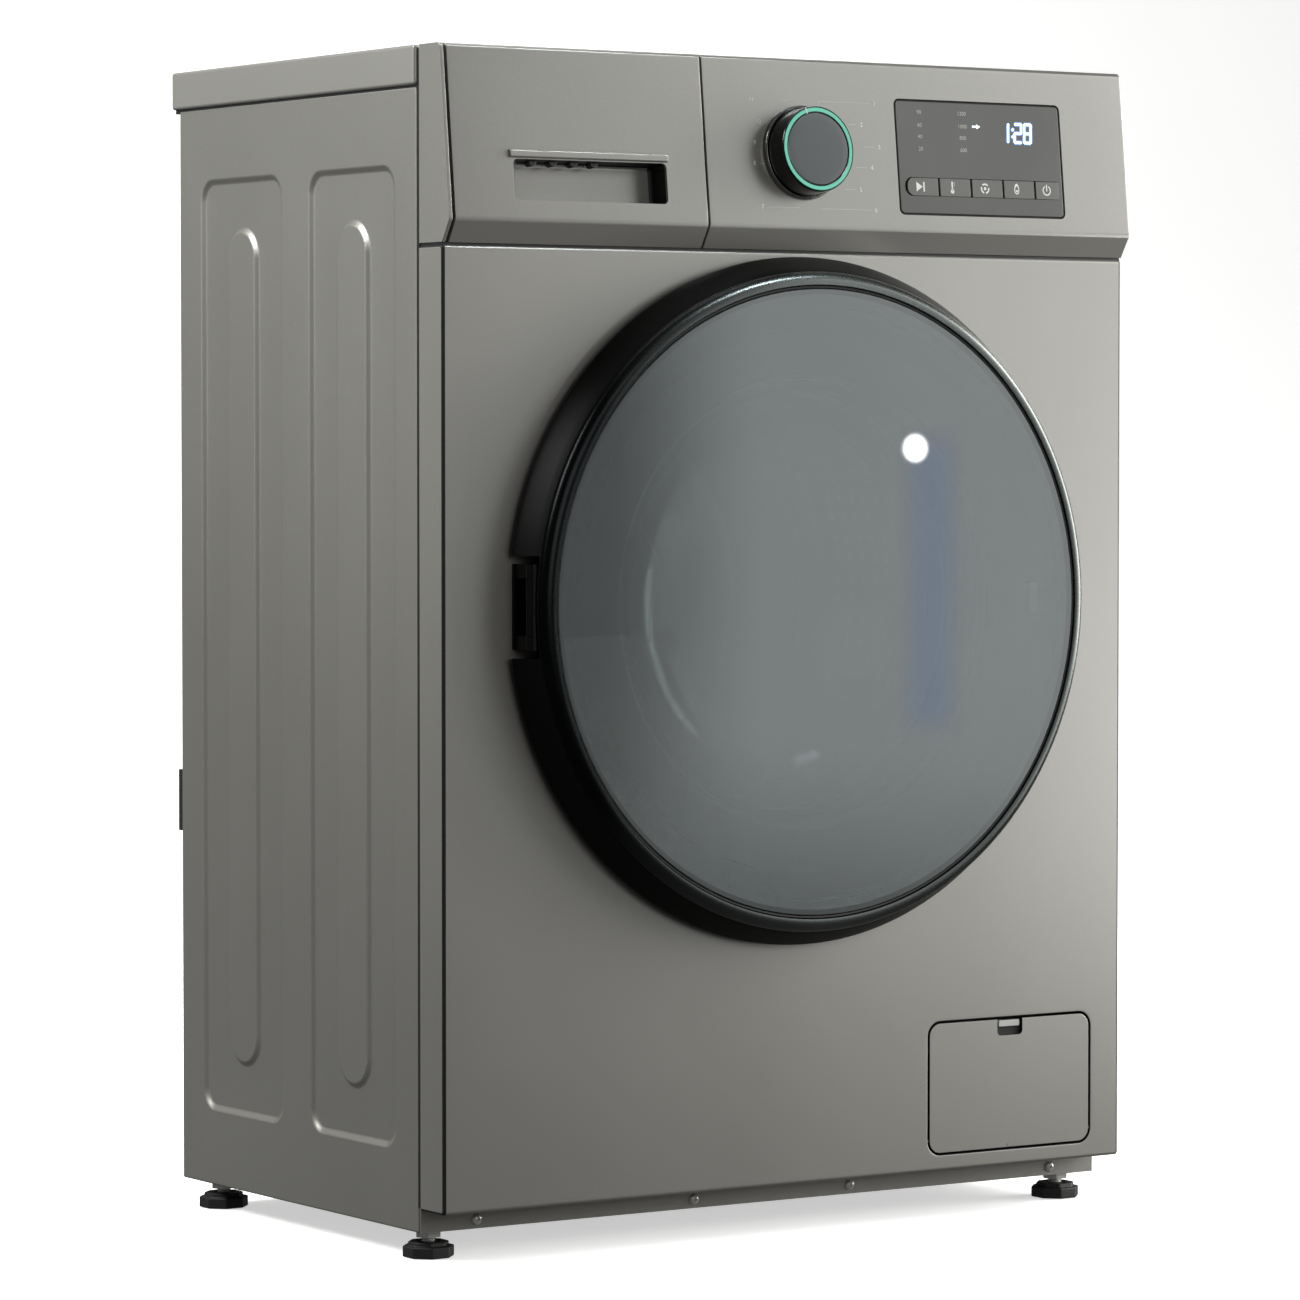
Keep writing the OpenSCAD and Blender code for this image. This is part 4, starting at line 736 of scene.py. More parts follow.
def makeFrontSheet():
    p = frontSheet
    sheet = blankSheet("frontSheet", -p["x"], p["x"], *p["z"])
    openFace()
    bpy.ops.mesh.select_all(action="DESELECT")
    bpy.ops.mesh.primitive_circle_add(vertices=128, radius=p["porthole"] / 1000, location=(0, doorZ / 1000, 0))
    for x, z, width, height, radius in (p["flap"], p["slot"]):
        opening(width, height, radius, (x, z))
    fillBetween(sheet)
    towardsZ(sheet)
    inset(p["border"])  # a level border, so the folds don't shade the flat
    low, high = [z / 1000 for z in p["z"]]
    holeSize = (p["porthole"] + 0.5) / 1000

    def onRim(c):
        return abs(abs(c.x) - p["x"] / 1000) < tiny or abs(c.y - low) < tiny or abs(c.y - high) < tiny

    def inHole(c):
        return math.hypot(c.x, c.y - doorZ / 1000) < holeSize

    def flat(a, b):
        return abs(a.z) < 1e-6 and abs(b.z) < 1e-6

    pickEdges(sheet, lambda a, b, e: e.is_boundary and onRim(a) and onRim(b))
    push(0, 0, -p["wrap"])
    pickEdges(sheet, lambda a, b, e: e.is_boundary and flat(a, b) and inHole(a) and inHole(b))
    push(0, 0, -p["lip"])
    pickEdges(sheet, lambda a, b, e: e.is_boundary and flat(a, b))
    push(0, 0, -p["turned"])
    pickEdges(sheet, lambda a, b, e: len(e.link_faces) == 2 and e.calc_face_angle(0) > 1.2 and onRim(a) and onRim(b))
    bevel(p["fold"], 5)
    pickEdges(sheet, lambda a, b, e: len(e.link_faces) == 2 and e.calc_face_angle(0) > 1.2 and not onRim(a)
              and flat(a, b))
    bevel(p["edge"], 3)
    done()
    modify(sheet, "SOLIDIFY", thickness=sheetThick, offset=-1)
    sheet.data.transform(Matrix(((1, 0, 0, 0), (0, 0, -1, frontY / 1000), (0, 1, 0, 0), (0, 0, 0, 1))))
    return sheet


frontPanel = keep(makeFrontSheet(), "cabinet", "front_panel", [cabinetPaint, blackAndPaintedShade], 35)
flapX, flapZ = [c / 1000 for c in frontSheet["flap"][:2]]
for face in frontPanel.data.polygons:  # painted shade: the tight folds at both sides and the walls of the flap's opening are coloured black, where shade falls in the creases and the gap
    x, z = face.center.x, face.center.z
    atSide = 0.15 < abs(face.normal.x) < 0.985 and abs(x) > frontSheet["foldX"]
    nearFlap = abs(x - flapX) < frontSheet["flapHalf"][0] and abs(z - flapZ) < frontSheet["flapHalf"][1]
    face.material_index = 1 if atSide or (nearFlap and abs(face.normal.y) < 0.9) else 0
print("front panel folded")

worktop = {"low": (-300, 33.3, 822.2), "high": (300, 388, 850), "edge": 2.2, "under": (12, 1, -4),
           "crown": (14, 1.6, 0.5)}


def makeWorktop():
    top = softBlock("worktop", worktop["low"], worktop["high"], worktop["edge"], 4)
    editing(top)
    for side, level in ((-1, "under"), (1, "crown")):
        pickFaces(top, lambda f: f.normal.z * side > 0.99)
        border, run, depth = worktop[level]
        inset(border)
        inset(run, depth)
    done()
    return top


keep(makeWorktop(), "cabinet", "top_lid", [lidPaint], 35)
print("worktop made")

faceTurn = Matrix.Rotation(-lean, 4, "X")
faceUp = Vector((0, math.sin(lean), math.cos(lean)))
faceOutward = Vector((0, -math.cos(lean), math.sin(lean)))


def onFace(obj, x, z):  # drawn with x across, z up and -y out of the face, then laid on the leaning face
    obj.data.transform(Matrix.Translation(faceAt(x, z)) @ faceTurn)
    return obj


moulding = {"x": (-80.6, 297.5), "left": (-297.5, -294.8), "noseZ": 728.0, "topZ": 848.0, "rear": 30.9, "nose": 2.2,
            "rim": 0.6, "cheekRim": 0.4, "window": (162.25, 781.8, 151.9, 85.4, 4.6), "seat": 2.4, "border": 3.0,
            "roofY": 5.0, "roofRise": 2.0, "chin": (10.0, -16.0), "bay": (-294.4, -81.0, 712.1, 849.9), "bayY": 24.5,
            "bayWall": 2.0, "tray": (-179.25, 760.5, 164.0, 60.0, 3.0)}


def faceSection(name, x0, x1, openings, rear, rim):
    p = moulding
    part = blankSheet(name, x0, x1, 0, (p["topZ"] - p["noseZ"]) / math.cos(lean))
    if openings:
        openFace()
        for x, z, width, height, radius in openings:
            opening(width, height, radius, (x, (z - p["noseZ"]) / math.cos(lean)), 6)
        fillBetween(part)
        towardsZ(part)
        inset(p["border"])
    done()
    up, out, base = faceUp, faceOutward, faceAt(0, p["noseZ"])
    part.data.transform(Matrix(((1, 0, 0, 0), (0, up.y, out.y, base.y), (0, up.z, out.z, base.z), (0, 0, 0, 1))))
    editing(part)
    low, high, topY = base.z, faceAt(0, p["topZ"]).z, faceAt(0, p["topZ"]).y
    roof = [(0, (at(0, p["roofY"], 0).y - topY) * 1000, p["roofRise"]), (0, rear - p["roofY"], 0)]
    for level, steps in ((high, roof), (low, [(0, *p["chin"]), (0, rear, 0)])):
        pickEdges(part, lambda a, b, e: e.is_boundary and onPlane(a, b, 2, level))
        for step in steps:
            push(*step)
    back = at(0, rear, 0).y
    pickEdges(part, lambda a, b, e: e.is_boundary and onPlane(a, b, 1, back))
    bpy.ops.mesh.bridge_edge_loops()
    ends = (x0 / 1000, x1 / 1000)
    for x in ends:
        pickEdges(part, lambda a, b, e: e.is_boundary and onPlane(a, b, 0, x))
        bpy.ops.mesh.edge_face_add()
    if openings:
        pickEdges(part, lambda a, b, e: e.is_boundary)
        push(*(-out * p["seat"]))
    pickEdges(part, lambda a, b, e: onPlane(a, b, 2, low) and abs(a.x - b.x) > 0.001)
    bevel(p["nose"], 5)
    pickEdges(part, lambda a, b, e: (min(abs(a.x - x) for x in ends) < tiny and abs(a.x - b.x) < 1e-6
                                     and e.calc_face_angle(0) > 1.0)
              or (a.z > high - tiny and b.z > high - tiny and abs(a.x - b.x) > 0.001 and e.calc_face_angle(0) > 0.3))
    bevel(rim, 3)
    done()
    return part


def makeMoulding():
    p = moulding
    parts = [faceSection("controlMoulding", *p["x"], [p["window"]], p["rear"], p["rim"]),
             faceSection("leftCheek", *p["left"], [], p["rear"], p["cheekRim"])]
    wall = blankSheet("bayWall", *p["bay"])
    openFace()
    x, z, width, height, radius = p["tray"]
    opening(width, height, radius, (x, z))
    fillBetween(wall)
    pickAll()
    push(0, 0, -p["bayWall"])
    done()
    wall.data.transform(Matrix(((1, 0, 0, 0), (0, 0, -1, at(0, p["bayY"], 0).y), (0, 1, 0, 0), (0, 0, 0, 1))))
    editing(wall)
    welded()
    done()
    return joined("controlMoulding", parts + [wall])


keep(makeMoulding(), "cabinet", "control_panel", [fasciaPlastic], 35)
print("control panel moulded")

drawerFace = {"x": (-292.3, -82.3), "rear": 24.2, "pull": (-179.25, 756.5, 127.5, 29.0, 3.6), "deep": 20.0,
              "scoop": 3.2, "scoopSteps": 5, "rim": 0.5, "lip": (-247.2, -114.0, 771.2, 777.6, 2.5),
              "lipRoot": 1.0, "lipTaper": (0.985, 1, 0.72), "lipEdge": 0.7, "dark": (64.5, 15.5, 4, -11.4, 11.8, 60),
              "teeth": (-239, -222, -205, -188, -171), "toothZ": 770.6, "tooth": (3.2, 7.0, 11.5),
              "toothCut": 0.5, "toothEdge": 0.5, "columnEnd": (0.4, 0.2),
              "columns": (-240.6, -236.6), "column": (1.5, 27.5, 12.0)}


def makeDrawerFace():
    p = drawerFace
    front = faceSection("drawerFace", *p["x"], [p["pull"]], p["rear"], p["rim"])
    editing(front)
    pickEdges(front, lambda a, b, e: e.is_boundary)
    push(*(-faceOutward * (p["deep"] - p["scoop"] - moulding["seat"])))
    bpy.ops.mesh.edge_face_add()
    pickFaces(front, lambda f: len(f.verts) > 20)
    for i in range(p["scoopSteps"]):  # rounded towards the back wall
        a, b = [math.pi / 2 * k / p["scoopSteps"] for k in (i, i + 1)]
        inset(p["scoop"] * (math.cos(a) - math.cos(b)), -p["scoop"] * (math.sin(b) - math.sin(a)))
    done()
    x0, x1, z0, z1, reach = p["lip"]
    deselect()
    bpy.ops.mesh.primitive_cube_add(size=1, location=(0, (p["lipRoot"] - reach) / 2000, 0))
    lip = named("pullLip")
    lip.scale = ((x1 - x0) / 1000, (reach + p["lipRoot"]) / 1000, (z1 - z0) / 1000)
    settle(lip)
    editing(lip)
    pickFaces(lip, lambda f: f.normal.y < -0.9)
    bpy.ops.transform.resize(value=p["lipTaper"])
    pickAll()
    bevel(p["lipEdge"], 3)
    done()
    onFace(lip, (x0 + x1) / 2, (z0 + z1) / 2)
    return joined("drawerFace", [front, lip])


drawerPiece = keep(makeDrawerFace(), "drawer", "drawer_front", [fasciaPlastic, blackAndPaintedShade], 35)
halfX, halfZ, shallow, footZ, roofZ, endX = drawerFace["dark"]
for face in drawerPiece.data.polygons:  # painted shade: the recess's faces at its roof, foot and right end are coloured black, where shade falls inside it
    x, z = face.center.x * 1000 - drawerFace["pull"][0], face.center.z * 1000 - drawerFace["pull"][1]
    depth = (face.center.y - faceAt(0, face.center.z * 1000).y) * 1000
    inside = abs(x) < halfX and abs(z) < halfZ and depth > shallow
    face.material_index = 1 if inside and (z < footZ or z > roofZ or x > endX) else 0


def rod(name, vertices, radius, length, y, rotation=(0, 0, 0)):
    deselect()
    bpy.ops.mesh.primitive_cylinder_add(vertices=vertices, radius=radius / 1000, depth=length / 1000, rotation=rotation,
                                        location=(0, y / 1000, 0))
    made = settle(named(name))
    editing(made)
    return made


def makePullRibs():  # small finger ribs under the roof of the recess and at its left end
    p, parts = drawerFace, []
    for x in p["teeth"]:
        tooth = rod("pullTooth", 20, *p["tooth"], (math.pi / 2, 0, 0))
        pickAll()
        cut = (0, 0, p["toothCut"] / 1000)
        bpy.ops.mesh.bisect(plane_co=cut, plane_no=(0, 0, 1), clear_outer=True, use_fill=True)
        pickAll()
        bevel(p["toothEdge"], 2)
        done()
        parts.append(onFace(tooth, x, p["toothZ"]))
    for x in p["columns"]:
        column = rod("pullColumn", 16, *p["column"])
        pickFaces(column, lambda f: abs(f.normal.z) > 0.9)
        inset(*p["columnEnd"])
        done()
        parts.append(onFace(column, x, p["pull"][1]))
    return joined("pullRibs", parts)


# painted shade: the finger ribs are coloured black, as shade falls on them under the roof of the recess
keep(makePullRibs(), "drawer", None, [blackPlastic], 35)
print("drawer front made")

doorRing = {"profile": [(166, -3.2), (244.6, -3.2), (246.6, -3.7), (247.7, -5.0), (248, -6.4), (247.9, -9),
                        (244.2, -15.6), (240.3, -22.4), (237.2, -27.4), (236.2, -28), (214.6, -28), (214.6, -8),
                        (166, -8)],
            "cuts": [((-249.5, -27, 423), (-222, 0.5, 495), 1.6), ((228, -17, 407), (249.5, 0.5, 511), 3.0),
                     ((196, -9, 448.5), (216, 0.5, 469.5), 0.6)], "cheekZ": (447, 471)}
trimProfile = [(227.2, -28), (236.9, -28), (237.0, -29.4), (236.5, -31.2), (235.2, -33.1), (233.2, -34.6),
               (230.9, -35.4), (228.6, -35.5), (227.6, -35.3), (227.2, -34.8)]
gasketProfile = [(215.8, -28.1), (227.1, -28.1), (227.1, -33.7), (226.4, -34.3), (225.3, -34.0), (224.9, -31.6),
                 (215.8, -31.0)]


def cutAway(obj, low, high, radius):
    cutBy(obj, softBlock("cutter", low, high, radius))


def makeDoorRing():
    ring = spun("doorRing", doorRing["profile"], 180)
    for low, high, radius in doorRing["cuts"]:  # for the hinge, the fingers and the latch
        cutAway(ring, low, high, radius)
    parts = [ring]
    for z in doorRing["cheekZ"]:
        parts.append(softBlock("latchCheek", (197, -15, z - 1.5), (215, -3.2, z + 1.5), 0.3))
        cutAway(parts[-1], (204.4, -11.6, z - 3), (207.6, -8.4, z + 3), 0)
    return joined("doorRing", parts)


keep(makeDoorRing(), "door", "door_frame", [doorBlack], 32)
keep(spun("doorTrim", trimProfile, 200), "door", "door_trim_ring", [trimGrey], 40)
keep(spun("paneGasket", gasketProfile, 180), "door", None, [blackAndPaintedShade], 40)

pane = {"radius": 224.7, "edge": 35.0, "rise": 6.0, "dome": 226.6, "thick": 4.0, "steps": 14}


def makePane():
    p = pane
    front, back = [], []
    for i in range(p["steps"] + 1):
        r = p["radius"] * i / p["steps"]
        y = -p["edge"] - p["rise"] * (1 - (r / p["dome"]) ** 2)
        front.append((r, y))
        back.append((r, y + p["thick"]))
    front[-1] = (p["radius"] - 0.5, front[-1][1])
    rim = [(p["radius"], front[-1][1] + 0.7), (p["radius"], back[-1][1])]
    return spun("outerPane", front + rim + back[-2::-1], 160, False)


keep(makePane(), "door", "door_window", [outerGlass], 40)

bowl = {"mouth": 158.0, "depth": 86.0, "wall": 5.0, "power": 2.1, "flange": 185.0, "steps": 26}


def bowlCurve(radius, depth):
    turns = [math.pi / 2 * i / bowl["steps"] for i in range(bowl["steps"] + 1)]
    return [(radius * max(0.0, 1 - math.sin(t) ** bowl["power"]) ** (1 / bowl["power"]), depth * math.sin(t))
            for t in turns]


def makeBowl():
    mouth, wall, flange = bowl["mouth"], bowl["wall"], bowl["flange"]
    rim = [(mouth - wall, -10.5), (mouth - wall + 1.5, -12), (flange, -12), (flange, -8)]
    start = [(mouth + 2.5, -8), (mouth + 0.6, -7.2), (mouth, -5)]
    inside = bowlCurve(mouth - wall, bowl["depth"] - wall)
    return spun("glassBowl", inside[::-1] + rim + start + bowlCurve(mouth, bowl["depth"]), 160, False)


keep(makeBowl(), "door", "door_bowl", [bowlGlass], 40)
print("door made")

drumSheet = {"mouth": 155.0, "radius": 235.0, "front": 78.0, "rear": 296.0, "shaft": 12.8, "thick": 1.5, "corner": 9.0,
             "rows": 12, "around": 90, "web": 5.9, "roundOff": 1.4,
             "pressed": [(206, 0), (201, 4), (142, 4), (137, 0), (72, 0), (67, 4), (28, 4), (25, 0)]}


def makeDrum():  # its outside is spun, the cells of its wall opened to round holes, then it gets its thickness inwards
    p = drumSheet
    bend = [(p["corner"] * math.sin(a), p["corner"] * math.cos(a)) for a in [math.radians(15 * i) for i in range(7)]]
    low, high, inner = p["front"] + p["corner"], p["rear"] - p["corner"], p["radius"] - p["corner"]
    profile = [(p["mouth"], p["front"])] + [(inner + s, low - c) for s, c in bend]
    profile += [(p["radius"], low + (high - low) * i / p["rows"]) for i in range(1, p["rows"])]
    profile += [(inner + s, high + c) for s, c in bend[::-1]]
    profile += [(r, p["rear"] - depth) for r, depth in p["pressed"]] + [(p["shaft"], p["rear"])]
    drum = spun("drumShell", profile, p["around"], False)
    side = next(f for f in editing(drum).faces if abs(f.normal.y) < 0.01)
    if side.normal.dot(side.calc_center_median() - at(0, 0, doorZ)) < 0:
        pickAll()
        bpy.ops.mesh.flip_normals()
    pickFaces(drum, lambda f: abs(f.normal.y) < 0.01)
    inset(p["web"], 0, True)
    bevel(p["roundOff"], 1, "VERTICES")
    pickFaces(drum, lambda f: len(f.verts) == 8)
    bpy.ops.mesh.delete(type="FACE")
    done()
    modify(drum, "SOLIDIFY", thickness=p["thick"] / 1000, offset=-1, use_even_offset=True)
    return drum


keep(makeDrum(), "drum", "drum_shell", [drumSteel], 35)
print("drum made")

knob = {"x": 2.5, "z": 781.8, "steps": 96, "tickTurn": 18, "tick": (30.6, 26.4, 1.0), "tickOut": 20.9,
        "tickThick": 0.08, "line": 0.4, "number": 3.3, "printOut": 0.02,
        "bezel": [(32.1, 0.3), (34.3, 0.3), (34.3, -1.4), (34.1, -2.7), (33.6, -3.6), (32.9, -4.0), (32.3, -3.8),
                  (32.1, -3.2)],
        "body": [(0, -0.4), (31.3, -0.4), (31.7, -1.0), (31.6, -9), (31.1, -19.4), (30.7, -20.5), (30.15, -21),
                 (29.95, -20.6), (29.95, -20.1), (26.85, -20.1), (26.85, -20.8), (26.5, -21), (26.0, -20.9),
                 (25.9, -20.2), (0, -20.2)],
        "ring": [(26.95, -19.9), (29.85, -19.9), (29.85, -20.5), (29.6, -20.75), (27.2, -20.75), (26.95, -20.5)],
        "cap": [(0, -20.0), (25.8, -20.0), (25.8, -20.5), (25.5, -20.75), (20, -20.85), (0, -20.9)]}
for name, shape, closed, material, body, node, slot in (
        ("knobBezel", "bezel", True, bezelChrome, "cabinet", "knob_bezel", "black_gloss"),
        ("knobBody", "body", False, glossBlack, "knob", "program_knob", "black_gloss"),
        ("knobRing", "ring", True, tealRing, "knob", "knob_ring", "ring_light"),
        ("knobCap", "cap", False, knobGrey, "knob", None, "black_gloss")):
    turned = onFace(spun(name, knob[shape], knob["steps"], closed, origin), knob["x"], knob["z"])
    keep(turned, body, node, [material], 40)


def drawn(name, points):  # a flat outline in the face's own plane, x across and z up
    flat = traced(name, [(x, 0, z) for x, z in points], origin)
    bpy.ops.mesh.edge_face_add()
    done()
    return flat


def bar(x0, z0, x1, z1, width):  # a printed line from one point to another
    along = Vector((x1 - x0, z1 - z0)).normalized() * width / 2
    side = Vector((-along.y, along.x))
    a, b = Vector((x0, z0)), Vector((x1, z1))
    return drawn("line", [a + side, a - along * 0.6, a - side, b - side, b + along * 0.6, b + side])


def arc(inner, outer, start, sweep, steps=28):
    turns = [start + sweep * i / steps for i in range(steps + 1)]
    inside = [(inner * math.cos(t), inner * math.sin(t)) for t in turns]
    return drawn("arc", [(x * outer / inner, z * outer / inner) for x, z in inside] + inside[::-1])


def disc(radius, x=0.0, z=0.0, steps=20):
    turns = [math.tau * i / steps for i in range(steps)]
    return drawn("dot", [(x + radius * math.cos(t), z + radius * math.sin(t)) for t in turns])


def lettered(words, size, side="LEFT"):
    deselect()
    bpy.ops.object.text_add(location=(0, 0, 0))
    text = bpy.context.object.data
    text.body = words
    text.size = size / 700
    text.align_x, text.align_y = side, "CENTER"
    text.resolution_u = 3
    bpy.ops.object.convert(target="MESH")
    mark = named("mark")
    mark.data.transform(Matrix.Rotation(math.pi / 2, 4, "X"))
    return mark


def printOn(name, marks, x, z, out, thick=0.05):  # inks laid on the face, with the thickness of a print
    sheet = joined(name, marks)
    editing(sheet)
    faceOut()
    push(0, -thick, 0)
    faceOut()
    done()
    return onFace(moved(sheet, 0, -out, 0), x, z)


dialMarks = [  # number, its line, and where the number stands
    ("1", [(16.4, 34.2), (16.7, 37.9), (62.0, 38.2)], (65.5, 38.2)), ("2", [(42.1, 22.2), (49.2, 22.2)], (52.7, 22.2)),
    ("3", [(55.1, 6.2), (64.1, 6.2)], (67.6, 6.2)), ("4", [(46.9, -9.0), (56.5, -9.2)], (60.0, -9.2)),
    ("5", [(35.9, -25.3), (45.5, -25.5)], (49.0, -25.5)), ("6", [(14.5, -40.0), (57.9, -40.1)], (61.4, -40.1)),
    ("7", [(-4.8, -39.8), (-32.5, -39.8)], (-36.0, -39.8)), ("8", [(-30.5, -8.5), (-37.5, -8.5)], (-41.0, -8.5)),
    ("9", [(-30.2, 6.2), (-36.3, 6.2)], (-39.8, 6.2)), ("10", [(-26.5, 21.7), (-30.9, 21.7)], (-34.4, 21.7)),
    ("11", [(-9.7, 37.7), (-35.8, 37.2)], (-39.3, 37.2))]


def makeDialPrint():
    lines, numbers = [], []
    for number, path, (x, z) in dialMarks:
        lines += [bar(*a, *b, knob["line"]) for a, b in zip(path, path[1:])]
        numbers.append(moved(lettered(number, knob["number"], "LEFT" if x > 0 else "RIGHT"), x, 0, z))
    for name, marks, ink in (("dialLines", lines, faintInk), ("dialNumbers", numbers, whiteInk)):
        sheet = printOn(name, marks, knob["x"], knob["z"], knob["printOut"])
        keep(sheet, "cabinet", None, [ink])


makeDialPrint()
across, up = -math.sin(math.radians(knob["tickTurn"])), math.cos(math.radians(knob["tickTurn"]))
outer, inner, width = knob["tick"]
tick = bar(outer * across, outer * up, inner * across, inner * up, width)
dialTick = printOn("dialTick", [tick], knob["x"], knob["z"], knob["tickOut"], knob["tickThick"])
keep(dialTick, "knob", None, [whiteInk])
print("knob and dial made")

display = {"x": 162.25, "z": 781.8, "pane": (148.6, 82.1, 3.0), "row": (0.65, -21.6, 140.6, 13.5, 1.2, 6.2),
           "level": -0.1, "thick": 1.8, "bed": (151.6, 85.1, 4.4), "bedDepth": 2.35, "bedThick": 0.3}


def plate(name, width, height, radius, level, thick, hole=None, soften=0.25, leftEnd=None):  # in the face's plane
    obj = blankSheet(name, -0.5, 0.5, -0.5, 0.5)
    bpy.ops.mesh.delete(type="VERT")
    roundPlate(width, height, radius, (0, 0), 0, 6, leftEnd)
    if hole:
        openFace()
        opening(*hole[2:5], hole[:2], 6, hole[5])
        fillBetween(obj)
    faceOut()
    push(0, 0, thick)
    faceOut()
    top = thick / 1000
    pickEdges(obj, lambda a, b, e: max(abs(a.z - top), abs(b.z - top)) < 1e-6 and e.calc_face_angle(0) > 1.0)
    bevel(soften, 3)
    done()
    obj.data.transform(Matrix.Rotation(math.pi / 2, 4, "X"))
    return moved(obj, 0, thick - level, 0)


displayPane = plate("displayPane", *display["pane"], display["level"], display["thick"], display["row"])
onFace(displayPane, display["x"], display["z"])
keep(displayPane, "cabinet", "display_window", [smokedPanel], 35)
bedTop = display["bedThick"] - display["bedDepth"]
displayBed = onFace(plate("displayBed", *display["bed"], bedTop, display["bedThick"]), display["x"], display["z"])
keep(displayBed, "cabinet", None, [blackAndPaintedShade], 35)

keys = {"row": 92.8, "pitch": 29.3, "end": 233.0, "z": 760.2, "height": 13.2, "left": 1.6, "right": 0.1, "proud": 0.5,
        "thick": 1.5, "radius": 0.8, "round": 5.6, "soften": 0.3, "signOut": 0.01,
        "iconAt": (105.8, 134.7, 164.6, 193.8, 221.6), "bodies": ("start", "temperature", "spin", "timer", "power")}


def playIcon():
    return [drawn("play", [(-3.6, 3.6), (-3.6, -3.6), (2.0, 0)]), bar(3.2, -3.4, 3.2, 3.4, 1.3)]


def thermometerIcon():
    return [disc(1.7, 0, -2.7), bar(0, -2.4, 0, 4.2, 1.3), bar(1.4, 3.4, 2.4, 3.4, 0.45), bar(1.4, 1.9, 2.4, 1.9, 0.45)]


def spinIcon():
    return [arc(2.7, 3.9, math.radians(40 + 120 * i), math.radians(92), 10) for i in range(3)] + [disc(1.2)]


def dropIcon():
    left = [(-2.9 * math.sin(t) * (0.55 + 0.45 * t / math.pi), 4.6 - 8.2 * (1 - math.cos(t)) / 2)
            for t in [math.pi * i / 12 for i in range(13)]]
    outside = left + [(-x, z) for x, z in left[-2:0:-1]]
    inside = [(x * 0.66, (z + 0.2) * 0.66 - 0.5) for x, z in outside]
    return [drawn("drop", outside[6:] + outside[:7] + inside[6::-1] + inside[:5:-1]), disc(0.9, 0, -1.1)]


def powerIcon():
    return [arc(2.9, 3.8, math.radians(120), math.radians(300), 24), bar(0, -0.4, 0, 4.2, 0.95)]


def makeKeys():
    p = keys
    icons = (playIcon, thermometerIcon, spinIcon, dropIcon, powerIcon)
    for i, (body, icon) in enumerate(zip(p["bodies"], icons)):
        low = p["row"] + p["pitch"] * i + p["left"]
        high = (p["end"] if i == 4 else p["row"] + p["pitch"] * (i + 1)) - p["right"]
        key = plate(body + "Key", high - low, p["height"], p["radius"], p["proud"], p["thick"], None, p["soften"],
                    None if i else p["round"])
        onFace(key, (low + high) / 2, p["z"])
        keep(key, body, body + "_button", [buttonFace], 35)
        sign = printOn(body + "Sign", icon(), p["iconAt"][i], p["z"], p["proud"] + p["signOut"])
        keep(sign, body, None, [whiteInk])


makeKeys()
readout = {"rows": (815.0, 805.5, 797.0, 788.0), "heats": ("90", "60", "40", "20"),
           "speeds": ("1200", "1000", "800", "600"), "heatX": 108.7, "speedX": 147.5,
           "digits": (("1", 189.4), ("2", 198.5), ("8", 207.3)), "z": 802.0,
           "size": (6.0, 13.6), "stroke": 1.7, "halo": 1.9, "slant": 0.07, "colon": (193.7, 2.6, 0.55),
           "words": 2.9, "wordsOut": -0.08, "haloOut": -0.09, "barsOut": -0.05, "digitThick": 0.03,
           "pointer": [(-3.6, 0.5), (-3.6, -0.9), (0.4, -0.9), (0.4, -1.9), (3.6, -0.2), (0.4, 1.5), (0.4, 0.5)],
           "pointerAt": (160.2, 806.0)}
segmentEnds = {"a": (-1, 1, 1, 1), "b": (1, 1, 1, 0), "c": (1, 0, 1, -1), "d": (-1, -1, 1, -1), "e": (-1, 0, -1, -1),
               "f": (-1, 1, -1, 0), "g": (-1, 0, 1, 0)}
litSegments = {"1": "bc", "2": "abged", "8": "abcdefg"}


def makeDigits(name, stroke, out):
    p = readout
    middle = p["digits"][1][1]
    marks = []
    for digit, x in p["digits"]:
        for segment in litSegments[digit]:
            ends = [e * s / 2 for e, s in zip(segmentEnds[segment], p["size"] * 2)]
            if digit == "1":
                ends[0] = ends[2] = 0
            marks.append(moved(bar(*ends, stroke), x - middle, 0, 0))
    x, z, share = p["colon"]
    marks += [disc(stroke * share, x - middle, side * z) for side in (-1, 1)]
    for mark in marks:
        mark.data.transform(Matrix(((1, 0, p["slant"], 0), (0, 1, 0, 0), (0, 0, 1, 0), (0, 0, 0, 1))))
    return printOn(name, marks, middle, p["z"], out, p["digitThick"])


def makeReadout():
    p = readout
    marks = []
    for words, x in ((p["heats"], p["heatX"]), (p["speeds"], p["speedX"])):
        marks += [moved(lettered(word, p["words"], "CENTER"), x - display["x"], 0, z - display["z"])
                  for word, z in zip(words, p["rows"])]
    numbers = printOn("displayNumbers", marks, display["x"], display["z"], p["wordsOut"])
    keep(numbers, "cabinet", None, [faintInk])
    pointer = printOn("speedPointer", [drawn("pointer", p["pointer"])], *p["pointerAt"], p["wordsOut"])
    # painted glow: a wider lit bar behind the digits, for their light spreading
    halo = makeDigits("digitHalo", p["stroke"] * p["halo"], p["haloOut"])
    bars = makeDigits("digitBars", p["stroke"], p["barsOut"])
    for piece, glow in ((pointer, digitGlow), (halo, haloGlow), (bars, digitGlow)):
        keep(piece, "cabinet", None, [glow])


makeReadout()
print("display and buttons made")

seamStrips = {"sideY": (30.4, 34.4), "sideX": (295.6, 297.35), "z": (38.0, 848.0),
              "lid": ((-297.4, 33.0, 819.2), (297.4, 386.0, 822.6)),
              "front": ((-296.6, 1.2, 709.0), (296.6, 31.0, 711.9)), "flap": (194.8, 75.0, 2.4),
              "flapY": (3.1, 4.8), "flapZ": (63.0, 145.5), "radius": 0.3, "rim": 6.0}


def bead(low, high):
    return softBlock("bead", low, high, seamStrips["radius"], 2)


